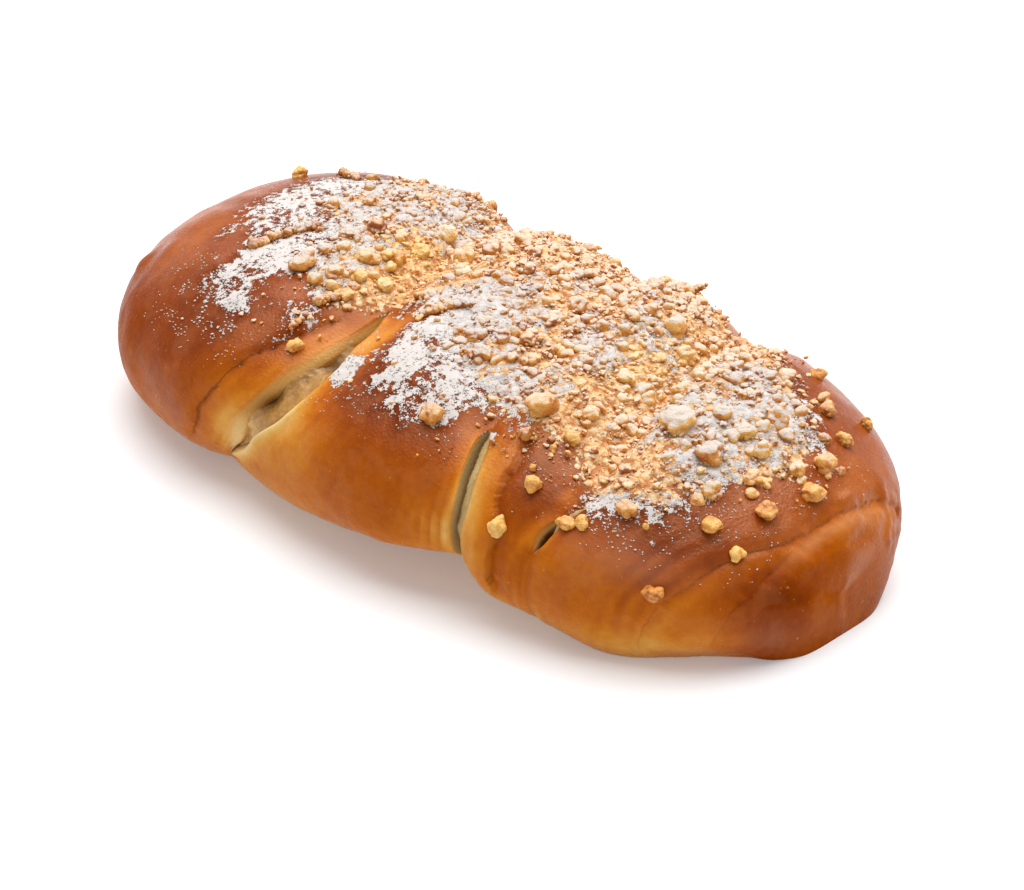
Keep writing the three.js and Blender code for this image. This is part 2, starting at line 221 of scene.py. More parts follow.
@dataclass(frozen=True)
class LoafForm:
    """A smooth loaf."""

    half_length: float
    half_width: float
    crown: float
    keel: float
    waist: float = 26.5
    end_sweep: float = 5.0
    left: LoafEnd = LoafEnd(3.1, 3.6, 9.5)
    right: LoafEnd = LoafEnd(2.6, 2.4, 14.0)
    upper_bluntness: float = 2.2
    lower_bluntness: float = 2.4
    probe: float = 0.5
    probe_margin: float = 0.01

    def point(self, x: Array, angle: Array) -> Array:
        """Gives points of the loaf.

        Args:
            x: Places along the loaf.
            angle: Places round it.

        Returns:
            The points, with x, y and z last.
        """
        s = np.clip(x / self.half_length, -1, 1)
        is_left = s < 0
        plan = np.where(is_left, self.left.plan, self.right.plan)
        side = np.where(is_left, self.left.side, self.right.side)
        tip = np.where(is_left, self.left.tip, self.right.tip)
        plan_share = (1 - np.abs(s) ** plan) ** (1 / plan)
        side_share = (1 - np.abs(s) ** side) ** (1 / side)
        waist = tip + (self.waist - tip) * side_share
        sine = np.sin(np.radians(angle))
        cosine = np.cos(np.radians(angle))
        power = np.where(sine > 0, 2 / self.upper_bluntness, 2 / self.lower_bluntness)
        outward = np.sign(cosine) * np.abs(cosine) ** power
        y = self.end_sweep * s * s - self.half_width * plan_share * outward
        farthest = np.where(sine > 0, tip + (self.crown - tip) * side_share, self.keel)
        z = waist + (farthest - waist) * np.abs(sine) ** power
        return np.stack(np.broadcast_arrays(x, y, z), -1)

    def normal(self, x: Array, angle: Array) -> Array:
        """Gives the way out of the loaf.

        Args:
            x: Places along the loaf.
            angle: Places round it.

        Returns:
            The directions, with x, y and z last.
        """
        limit = self.half_length - self.probe - self.probe_margin
        middle = np.clip(x, -limit, limit)
        lengthways = self.point(middle + self.probe, angle) - self.point(middle - self.probe, angle)
        round_it = self.point(middle, angle + self.probe) - self.point(middle, angle - self.probe)
        out = np.cross(lengthways, round_it)
        return out / np.linalg.norm(out, axis=-1, keepdims=True)


@dataclass(frozen=True)
class Fold:
    """A fold between two lobes, by angle: where it lies, half its slit's width and its valley's depth.

    reach is how far the valley spreads to the left and right, paling how far the dough stays pale there,
    and pale how much paler it is. shoulder is the share of the slit's width, by angle, that the left wall
    takes to slope down before it drops, and slope the share of its depth by then. filling is how deep the
    filling lies below the lips, from -1 at the left one to 1 at the right one, lip how far the right lip
    curls up, and smear how grey the slit is. A slit opens as half its width goes from one value of OPENING
    to the other.
    """

    OPENING = (0.5, 1.6)
    LIP_SLACK = 1.001

    run: Pairs
    slit: Pairs
    dip: Pairs
    reach: Span
    paling: Span
    pale: Span
    shoulder: Pairs
    slope: float
    filling: Pairs
    lip: float
    smear: float = 0.0

    def beyond(self, x: Array, angle: Array) -> tuple[Array, Array]:
        """Measures from the fold's middle, negative on its left, and beyond its lips."""
        offset = x - along(self.run, angle)
        return offset, np.maximum(np.abs(offset) - along(self.slit, angle), 0)

    def within(self, x: Array, angle: Array) -> Array:
        """Tells whether places lie between the slit's lips."""
        return np.abs(x - along(self.run, angle)) <= along(self.slit, angle) * self.LIP_SLACK

    def openness(self, angle: Array) -> Array:
        """Tells how far the slit is open, from 0 where it is shut to 1 where it has its full depth."""
        return smooth_rise(along(self.slit, angle), *self.OPENING)

    def clear(self, x: Array, angle: Array, margin: float) -> Array:
        """Tells whether places lie farther than a margin from the slit, or where it is shut."""
        _, beyond = self.beyond(x, angle)
        return (beyond > margin) | (self.openness(angle) == 0)


@dataclass(frozen=True)
class Crease:
    """A crease: where it runs, its depth and width, the drop on its right, and the shade painted along its
    line.

    band is how much paler the dough is on its right, and band_reach how far; shade is how much darker it is
    there from a sharp edge on, and softened the share of its relief that has baked out. Each wave of its
    waver has a height and a pace round the loaf.
    """

    WAVES = ((0.4, 0.19), (0.22, 0.53))

    run: Pairs
    depth: float
    width: float
    step: float
    line_shade: float
    band: float = 0.0
    band_reach: float = 4.0
    fade: float = 14.0
    step_reach: float = 16.0
    waver: float = 1.0
    shade: float = 0.0
    shade_edge: Span = (-0.4, 0.6)
    shade_reach: float = 8.0
    softened: float = 0.0
    end: Span = (123.0, 129.0)

    def strength(self, x: Array, angle: Array) -> Array:
        """Tells how strong the crease is, from 0 to 1: it runs out at its ends and at the loaf's."""
        inside = smooth_rise(np.minimum(angle - self.run[0][0], self.run[-1][0] - angle), 0, self.fade)
        return inside * smooth_fall(np.abs(x), *self.end)

    def offset(self, x: Array, angle: Array) -> Array:
        """Measures across the crease, which wavers a little.

        Args:
            x: Places along the loaf.
            angle: Places round it.

        Returns:
            The distance from its middle, negative on its left.
        """
        (high, slow), (low, quick) = self.WAVES
        waver = high * np.sin(slow * angle + self.width) + low * np.sin(quick * angle + self.depth)
        return x - along(self.run, angle) + self.waver * waver

    def paling(self, x: Array, angle: Array) -> Array:
        """Tells how much paler the dough is in the band on the crease's right.

        Args:
            x: Places along the loaf.
            angle: Places round it.

        Returns:
            How much paler it is at each place, negative where it is darker.
        """
        offset = self.offset(x, angle)
        band = self.band * np.exp(-((2 * offset / self.band_reach - 1) ** 2))
        shade = self.shade * smooth_rise(offset, *self.shade_edge)
        shade = shade * np.exp(-np.maximum(offset, 0) / self.shade_reach)
        return self.strength(x, angle) * (band - shade)

    def relief(self, x: Array, angle: Array) -> Array:
        """Measures the crease's depth.

        Args:
            x: Places along the loaf.
            angle: Places round it.

        Returns:
            Its depth at each place.
        """
        offset = self.offset(x, angle)
        groove = np.exp(-((offset / self.width) ** 2))
        low = np.where(offset > 0, self.step * np.maximum(1 - offset / self.step_reach, 0) ** 2, 0)
        return self.strength(x, angle) * (self.depth * groove + low)


@dataclass(frozen=True)
class Tuck:
    """Where the loaf draws in below its front, or swells out where the depth is negative.

    It sets in over the angles of onset below the front and runs out over those of base.
    """

    x: float
    reach: float
    depth: float
    onset: Span = (8.0, 42.0)
    base: Span = (62.0, 90.0)
    end: Span = (119.0, 129.0)

    def relief(self, x: Array, angle: Array) -> Array:
        """Gives its depth at places on the skin.

        Args:
            x: Places along the loaf.
            angle: Places round it.

        Returns:
            The depth at each place.
        """
        strength = smooth_rise(-angle, *self.onset) * smooth_fall(-angle, *self.base)
        strength = strength * smooth_fall(np.abs(x), *self.end)
        return strength * self.depth * np.exp(-(((x - self.x) / self.reach) ** 2))


@dataclass(frozen=True)
class MattZone:
    """Where egg wash is missing: its share along x, and the angles over which that runs out upwards."""

    missing: Rise
    top: Span = (270.0, 280.0)

    def gloss_left(self, x: Array, angle: Array) -> Array:
        """Tells what share of the gloss is left at places along the loaf and round it."""
        return 1 - self.missing.at(x) * smooth_fall(angle, *self.top)


@dataclass(frozen=True)
class Grain:
    """Unevenness of a finish: the spacing of its lumps in millimetres, its finer layers, and its reach."""

    size: float
    detail: float
    reach: float = 1.0


@dataclass(frozen=True)
class InnerLight:
    """Light that goes into a finish: how much, how far by colour, and how deep in millimetres."""

    weight: float
    radius: Colour
    depth: float


class ShaderSheet:
    """The node sheet of one material, with short ways to add nodes to it."""

    COLOUR_INPUTS = (0, 6, 7)  # a colour mixer's sockets: share, first and second colour
    COLOUR_OUTPUT = 2

    def __init__(self, name: str) -> None:
        """Makes the material and finds its shader.

        Args:
            name: The material's name.
        """
        self.material = bpy.data.materials.new(name)
        self.material.use_nodes = True
        self.tree = self.material.node_tree
        self.shader = self.tree.nodes["Principled BSDF"]
        self.place = self.node("TexCoord").outputs["Object"]

    def put(self, socket: Socket, value: object) -> None:
        """Links a socket to another one, or sets it to a constant.

        Args:
            socket: The socket.
            value: A socket to link it to, or the constant.
        """
        if isinstance(value, Socket):
            self.tree.links.new(value, socket)
        else:
            socket.default_value = value

    def fill(self, node: bpy.types.Node, **values: object) -> None:
        """Links or sets a node's sockets, named with underscores for spaces."""
        for name, value in values.items():
            self.put(node.inputs[name.replace("_", " ")], value)

    def set(self, **values: object) -> None:
        """Links or sets the shader's sockets, named with underscores for spaces."""
        self.fill(self.shader, **values)

    def node(self, kind: str, **values: object) -> bpy.types.Node:
        """Adds a node.

        Args:
            kind: Its kind.
            values: What its sockets are linked or set to.

        Returns:
            The node.
        """
        node = self.tree.nodes.new("ShaderNode" + kind)
        self.fill(node, **values)
        return node

    def attribute(self, name: str) -> Socket:
        """Reads a value that the mesh carries at its points.

        Args:
            name: The value's name.

        Returns:
            The value.
        """
        node = self.node("Attribute")
        node.attribute_name = name
        return node.outputs["Fac"]

    def noise(self, grain: Grain) -> Socket:
        """Adds noise from 0 to 1 with a grain's lumps."""
        spacing = grain.size * METRES
        return self.node("TexNoise", Vector=self.place, Scale=1 / spacing, Detail=grain.detail).outputs[0]

    def cells(self, size: float, drift: Socket, reach: float) -> Socket:
        """Adds packed cells.

        Args:
            size: Their spacing in millimetres.
            drift: Noise that makes them uneven.
            reach: How far it shifts them, in cells.

        Returns:
            The distance from the middle of each place's cell, in cells.
        """
        spacing = size * METRES
        shift = self.node("VectorMath")
        shift.operation = "ADD"
        self.put(shift.inputs[0], self.place)
        self.put(shift.inputs[1], self.times(self.swing(drift, reach), spacing))
        node = self.node("TexVoronoi", Vector=shift.outputs["Vector"], Scale=1 / spacing, Detail=0.0)
        return node.outputs["Distance"]

    def math(self, operation: str, first: object, second: object) -> Socket:
        """Works out one value from two.

        Args:
            operation: The operation's name in capitals.
            first: A socket or number.
            second: A socket or number.

        Returns:
            The result.
        """
        node = self.node("Math")
        node.operation = operation
        self.put(node.inputs[0], first)
        self.put(node.inputs[1], second)
        return node.outputs[0]

    def add(self, *terms: object) -> Socket:
        """Adds up sockets and numbers."""
        return reduce(lambda total, term: self.math("ADD", total, term), terms)

    def times(self, *factors: object) -> Socket:
        """Multiplies sockets and numbers."""
        return reduce(lambda total, factor: self.math("MULTIPLY", total, factor), factors)

    def minus(self, first: object, second: object) -> Socket:
        """Takes the second socket or number from the first."""
        return self.math("SUBTRACT", first, second)

    def swing(self, noise: Socket, reach: float) -> Socket:
        """Turns noise of 0 to 1 into a value that swings round 0 by up to half of reach."""
        return self.times(self.minus(noise, 0.5), reach)

    def uneven(self, grain: Grain) -> Socket:
        """Adds noise that swings round 0 by up to half of a grain's reach."""
        return self.swing(self.noise(grain), grain.reach)

    def band(self, value: object, low: float, high: float) -> Socket:
        """Rises smoothly.

        Args:
            value: A socket or number.
            low: Where the rise starts.
            high: Where it ends.

        Returns:
            0 at low and below, 1 at high and above.
        """
        node = self.node("MapRange", Value=value, From_Min=low, From_Max=high)
        node.interpolation_type = "SMOOTHSTEP"
        return node.outputs["Result"]

    def ramp(self, value: Socket, stops: Stops) -> Socket:
        """Turns a value into a colour.

        Args:
            value: The value, from 0 to 1.
            stops: Places on the ramp with their colours.

        Returns:
            The colour.
        """
        node = self.node("ValToRGB")
        elements = node.color_ramp.elements
        while len(elements) < len(stops):
            elements.new(0.5)
        for element, (place, colour) in zip(elements, stops):
            element.position = place
            element.color = linear(colour)
        self.put(node.inputs[0], value)
        return node.outputs["Color"]

    def mix(self, share: object, first: object, second: object) -> Socket:
        """Mixes two colours.

        Args:
            share: How much of the second there is.
            first: A socket or linear colour.
            second: A socket or linear colour.

        Returns:
            The mixed colour.
        """
        node = self.node("Mix")
        node.data_type = "RGBA"
        for number, value in zip(self.COLOUR_INPUTS, (share, first, second)):
            self.put(node.inputs[number], value)
        return node.outputs[self.COLOUR_OUTPUT]

    def blend(self, share: object, first: float, second: float) -> Socket:
        """Goes from the first number to the second as share goes from 0 to 1."""
        return self.add(self.times(share, second - first), first)

    def glow(self, light: InnerLight) -> None:
        """Lets light into the shader's skin."""
        self.set(Subsurface_Weight=light.weight, Subsurface_Radius=light.radius)
        self.set(Subsurface_Scale=light.depth * METRES)

    def bump(self, height: Socket, depth: float, strength: float = 1.0) -> None:
        """Adds fine relief: its height from 0 to 1, its depth in millimetres and how much of it shows."""
        node = self.node("Bump", Strength=strength, Distance=depth * METRES, Height=height)
        self.set(Normal=node.outputs["Normal"])


@dataclass(frozen=True)
class Tint:
    """Uneven patches of another colour: their grain, where in its noise they start, and their cover."""

    colour: Colour
    grain: Grain
    edge: Span
    cover: float

    def over(self, sheet: ShaderSheet, base: Socket) -> Socket:
        """Lays the tint over a colour."""
        share = sheet.times(sheet.band(sheet.noise(self.grain), *self.edge), self.cover)
        return sheet.mix(share, base, linear(self.colour))


@dataclass(frozen=True)
class SugarFinish:
    """Powdered sugar, as clumps of its own and as a dusting that other finishes take on."""

    white: Colour = (201, 194, 189)
    shade: Colour = (184, 175, 169)
    film_white: Colour = (224, 204, 184)
    grains: Grain = Grain(0.5, 4)
    clumps: Grain = Grain(2.1, 4, 1.7)
    specks: Grain = Grain(0.5, 2, 0.9)
    film_specks: Grain = Grain(0.5, 3, 0.9)
    shading: Span = (0.3, 0.7)
    dusted: Span = (0.54, 0.64)
    filmed: Span = (0.1, 0.8)
    film_cover: float = 0.85
    whitened: Span = (0.25, 0.75)
    roughness: float = 0.9
    inner_light: InnerLight = InnerLight(0.25, (1, 1, 1), 0.6)
    relief: float = 0.25

    def material(self) -> bpy.types.Material:
        """Makes the material of the clumps.

        Returns:
            The material.
        """
        sheet = ShaderSheet("powder_sugar")
        grain = sheet.noise(self.grains)
        colour = sheet.ramp(grain, tuple(zip(self.shading, (self.shade, self.white))))
        sheet.set(Base_Color=colour, Roughness=self.roughness)
        sheet.glow(self.inner_light)
        sheet.bump(grain, self.relief)
        return sheet.material

    def dusting(self, sheet: ShaderSheet, amount: object) -> Socket:
        """Breaks a smooth amount of powder, from 0 to 1, up into ragged specks on another finish."""
        ragged = sheet.add(sheet.uneven(self.clumps), sheet.uneven(self.specks))
        return sheet.band(sheet.add(amount, ragged), *self.dusted)

    def film(self, sheet: ShaderSheet, amount: object) -> Socket:
        """Spreads an amount of powder, from 0 to 1, as a thin uneven film on another finish."""
        uneven = sheet.add(amount, sheet.uneven(self.film_specks))
        return sheet.times(sheet.band(uneven, *self.filmed), self.film_cover)

    def film_colour(self, sheet: ShaderSheet, density: Socket) -> Socket:
        """Gives the film's colour, which is whiter where more powder was strewn."""
        return sheet.mix(sheet.band(density, *self.whitened), linear(self.film_white), linear(self.white))


@dataclass(frozen=True)
class CrustFinish:
    """Baked dough with egg wash, from pale inside a slit to dark brown at the crown, with painted sheen and
    shade.
    """

    sugar: SugarFinish
    browning_sheen_and_shade: Stops = (
        (0.0, (226, 206, 156)),
        (0.12, (222, 188, 118)),
        (0.24, (212, 156, 74)),
        (0.38, (200, 127, 40)),
        (0.52, (184, 100, 17)),
        (0.66, (163, 79, 9)),
        (0.8, (136, 58, 6)),
        (1.0, (94, 34, 6)),
    )
    # Baked-in crumbs, by distance from each one's middle: pale there, painted darker at the edges as shade in
    # the gaps.
    crumble: Stops = (
        (0.1, (240, 206, 154)),
        (0.35, (231, 187, 122)),
        (0.55, (220, 168, 108)),
        (0.75, (186, 118, 70)),
    )
    blotches: Grain = Grain(14, 4, 0.22)
    mottle: Grain = Grain(2.6, 5, 0.16)
    tints: tuple[Tint, ...] = (
        Tint((198, 130, 86), Grain(11, 5), (0.48, 0.6), 0.09),
        Tint((222, 160, 98), Grain(1.1, 2), (0.7, 0.76), 0.35),
    )
    seam_waver: Grain = Grain(2.2, 4, 0.9)
    seam_edge: Span = (0.06, 0.34)
    # colour of the shade painted along the creases
    crease_shade: Colour = (84, 36, 12)
    slit: Colour = (190, 142, 76)
    cream: Colour = (226, 190, 126)
    smear: Colour = (184, 160, 110)
    # colour of the shade painted in the slits' pits
    pit_shade: Colour = (88, 50, 8)
    crumb_size: float = 2.3
    crumb_drift: float = 1.4
    crumb_crown: float = 0.75
    grit: Grain = Grain(1.3, 5, 0.7)
    bed_edge: Span = (0.4, 0.55)
    bed_swing: float = 0.7
    roughness: float = 0.3
    wear: Grain = Grain(5, 5, 0.3)
    powder_roughness: float = 0.5
    bed_roughness: float = 0.2
    gloss_tint: Colour = (255, 226, 190)
    skin: Grain = Grain(0.9, 4)
    skin_height: float = 0.42
    powder_height: float = 0.5
    bed_height: float = 1.6
    relief: float = 0.6
    relief_strength: float = 0.9

    def seam_line(self, sheet: ShaderSheet, key: str) -> Socket:
        """Paints the thin broken line of shade in the creases of one set.

        Args:
            sheet: The material's sheet.
            key: The set.

        Returns:
            How dark the line is.
        """
        away = sheet.add(sheet.attribute(key), sheet.uneven(self.seam_waver))
        line = sheet.minus(1.0, sheet.band(sheet.math("ABSOLUTE", away, 0.0), *self.seam_edge))
        return sheet.times(line, sheet.attribute(key + "_line_shade"))

    def crust(self, sheet: ShaderSheet) -> Socket:
        """Colours the dough, the shade painted in its creases and its slits' pits, and its slits.

        Args:
            sheet: The material's sheet.

        Returns:
            The colour.
        """
        uneven = sheet.add(sheet.uneven(self.blotches), sheet.uneven(self.mottle))
        dough = sheet.ramp(sheet.add(sheet.attribute("browning_sheen_and_shade"), uneven), self.browning_sheen_and_shade)
        for tint in self.tints:
            dough = tint.over(sheet, dough)
        # Paints a thin line of shade along each crease.
        for key in SEAM_SETS:
            dough = sheet.mix(self.seam_line(sheet, key), dough, linear(self.crease_shade))
        inside = sheet.mix(sheet.attribute("cream"), linear(self.slit), linear(self.cream))
        inside = sheet.mix(sheet.attribute("smear"), inside, linear(self.smear))
        dough = sheet.mix(sheet.attribute("slit"), dough, inside)
        # Shade painted in the slits' pits.
        return sheet.mix(sheet.attribute("pit_shade"), dough, linear(self.pit_shade))

    def material(self) -> bpy.types.Material:
        """Makes the material: crust, the crumble baked into it and the powder on both.

        Returns:
            The material.
        """
        sheet = ShaderSheet("egg_washed_crust")
        grit = sheet.noise(self.grit)
        edge = sheet.cells(self.crumb_size, grit, self.crumb_drift)
        edge = sheet.add(edge, sheet.swing(grit, self.grit.reach))
        cover = sheet.minus(sheet.attribute("crumble"), sheet.swing(edge, self.bed_swing))
        bed = sheet.band(cover, *self.bed_edge)
        # The crumble bed, painted darker in the gaps between crumbs as shade.
        dough = sheet.mix(bed, self.crust(sheet), sheet.ramp(edge, self.crumble))
        powder = self.sugar.dusting(sheet, sheet.attribute("sugar"))
        crown = sheet.minus(self.crumb_crown, edge)
        film = sheet.times(bed, sheet.times(sheet.attribute("filmed"), self.sugar.film(sheet, crown)))
        dough = sheet.mix(film, dough, self.sugar.film_colour(sheet, sheet.attribute("sugar")))
        # A white film of finest dust, and a painted sheen on the right end.
        dough = sheet.mix(sheet.attribute("dust_and_sheen"), dough, linear(self.sugar.white))
        sheet.set(Base_Color=sheet.mix(powder, dough, linear(self.sugar.white)))
        worn = sheet.add(self.roughness, sheet.uneven(self.wear))
        matt = sheet.add(sheet.times(powder, self.powder_roughness), sheet.times(bed, self.bed_roughness))
        sheet.set(Roughness=sheet.add(worn, matt))
        sheet.set(Specular_IOR_Level=sheet.attribute("gloss"), Specular_Tint=linear(self.gloss_tint))
        skin = sheet.times(sheet.noise(self.skin), self.skin_height)
        height = sheet.add(skin, sheet.times(powder, self.powder_height))
        height = sheet.add(height, sheet.times(bed, crown, self.bed_height))
        sheet.bump(height, self.relief, self.relief_strength)
        return sheet.material


@dataclass(frozen=True)
class QuarkFinish:
    """Baked quark: cream, painted darker olive as shade where it lies low."""

    tones: Stops = (
        (0.0, (88, 54, 10)),
        (0.3, (138, 96, 36)),
        (0.5, (174, 128, 64)),
        (0.8, (222, 180, 110)),
    )
    grey: Colour = (176, 152, 102)
    grey_cover: float = 0.75
    curds: Grain = Grain(1.6, 5, 0.35)
    roughness: float = 0.42
    inner_light: InnerLight = InnerLight(0.25, (1, 0.8, 0.4), 2)
    relief: float = 0.4

    def material(self) -> bpy.types.Material:
        """Makes the material.

        Returns:
            The material.
        """
        sheet = ShaderSheet("baked_quark")
        curds = sheet.noise(self.curds)
        # Low places are painted darker, as shade.
        height = sheet.add(sheet.attribute("height"), sheet.swing(curds, self.curds.reach))
        grey = sheet.times(sheet.attribute("grey"), self.grey_cover)
        colour = sheet.mix(grey, sheet.ramp(height, self.tones), linear(self.grey))
        sheet.set(Base_Color=colour, Roughness=self.roughness)
        sheet.glow(self.inner_light)
        sheet.bump(curds, self.relief)
        return sheet.material


@dataclass(frozen=True)
class CrumbFinish:
    """Butter crumble, from pale yellow to toasted brown, dusted on top and painted darker on its sides as
    shade.
    """

    sugar: SugarFinish
    toast: Stops = (
        (0.0, (238, 200, 122)),
        (0.35, (230, 174, 86)),
        (0.65, (212, 138, 52)),
        (1.0, (156, 82, 26)),
    )
    grit: Grain = Grain(0.7, 4, 0.7)
    side_shade: float = 0.12
    dusted: Span = (0.35, 0.8)
    roughness: float = 0.42
    inner_light: InnerLight = InnerLight(0.2, (1, 0.6, 0.25), 1.2)
    relief: float = 0.6

    def material(self) -> bpy.types.Material:
        """Makes the material.

        Returns:
            The material.
        """
        sheet = ShaderSheet("butter_crumble")
        grit = sheet.noise(self.grit)
        facing = sheet.node("SeparateXYZ", Vector=sheet.node("NewGeometry").outputs["Normal"])
        upward = sheet.band(facing.outputs["Z"], *self.dusted)
        toast = sheet.add(sheet.attribute("toast"), sheet.swing(grit, self.grit.reach))
        # Sides and undersides are painted darker, as shade.
        crumb = sheet.ramp(sheet.add(toast, sheet.blend(upward, self.side_shade, 0.0)), self.toast)
        powder = self.sugar.film(sheet, sheet.times(sheet.attribute("sugar"), upward))
        powder_colour = self.sugar.film_colour(sheet, sheet.attribute("strewn"))
        sheet.set(Base_Color=sheet.mix(powder, crumb, powder_colour))
        sheet.set(Roughness=sheet.blend(powder, self.roughness, self.sugar.roughness))
        sheet.glow(self.inner_light)
        sheet.bump(grit, self.relief)
        return sheet.material


@dataclass(frozen=True)
class FloorFinish:
    """A plain pale sweep of paper."""

    pale: Colour = (224, 225, 226)
    shade: Colour = (222, 223, 224)
    clouds: Grain = Grain(60, 2)
    shading: Span = (0.3, 0.7)
    roughness: float = 0.8
    glow: float = 0.2

    def material(self) -> bpy.types.Material:
        """Makes the material.

        Returns:
            The material.
        """
        sheet = ShaderSheet("pale_floor")
        stops = tuple(zip(self.shading, (self.shade, self.pale)))
        sheet.set(Base_Color=sheet.ramp(sheet.noise(self.clouds), stops), Roughness=self.roughness)
        sheet.set(Emission_Color=WHITE, Emission_Strength=self.glow)
        return sheet.material


def make_piece(
    name: str,
    node: Node,
    mesh_data: tuple[Array, Array, Values],
    material: bpy.types.Material,
    smooth: bool = True,
) -> None:
    """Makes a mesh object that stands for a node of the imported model, and reports it.

    Args:
        name: The object's name.
        node: The node that it stands for.
        mesh_data: Its points in millimetres, the points' numbers with a row a face, and values that the mesh
            carries at its points, by name.
        material: Its material.
        smooth: Whether its faces are shaded as one rounded skin.
    """
    points, faces, values = mesh_data
    mesh = bpy.data.meshes.new(name)
    mesh.from_pydata(points * METRES, [], faces.tolist())
    mesh.polygons.foreach_set("use_smooth", np.full(len(faces), smooth))
    for key, value in values.items():
        layer = mesh.attributes.new(key, "FLOAT", "POINT")
        layer.data.foreach_set("value", np.ascontiguousarray(value, np.float32))
    mesh.materials.append(material)
    mesh.update()
    piece = bpy.data.objects.new(name, mesh)
    bpy.context.scene.collection.objects.link(piece)
    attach(piece, "root")
    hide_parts(node.value)
    LOG.info("%s stands for %s with %d faces", piece.name, node.value, len(piece.data.polygons))


def ring_faces(columns: int, rows: int) -> Array:
    """Joins closed rings of points into a tube with a fan at each end.

    Args:
        columns: How many rings there are.
        rows: How many points a ring has.

    Returns:
        Triangles, where the points of the first ring come first and the two end points last.
    """
    row = np.arange(rows)
    after = (row + 1) % rows
    ring = np.arange(columns - 1)[:, None] * rows
    here, here_next = ring + row, ring + after
    there, there_next = here + rows, here_next + rows
    sides = np.stack([here, there, there_next, here, there_next, here_next], -1).reshape(-1, 3)
    first = columns * rows
    start = np.stack([np.full(rows, first), row, after], -1)
    last_ring = (columns - 1) * rows
    end = np.stack([np.full(rows, first + 1), last_ring + after, last_ring + row], -1)
    return np.concatenate([sides, start, end])


def with_ends(rings: Array, at_ends: float = 0.0) -> Array:
    """Lists values at the points of rings, and then at the two end points."""
    return np.append(rings.ravel(), [at_ends, at_ends])


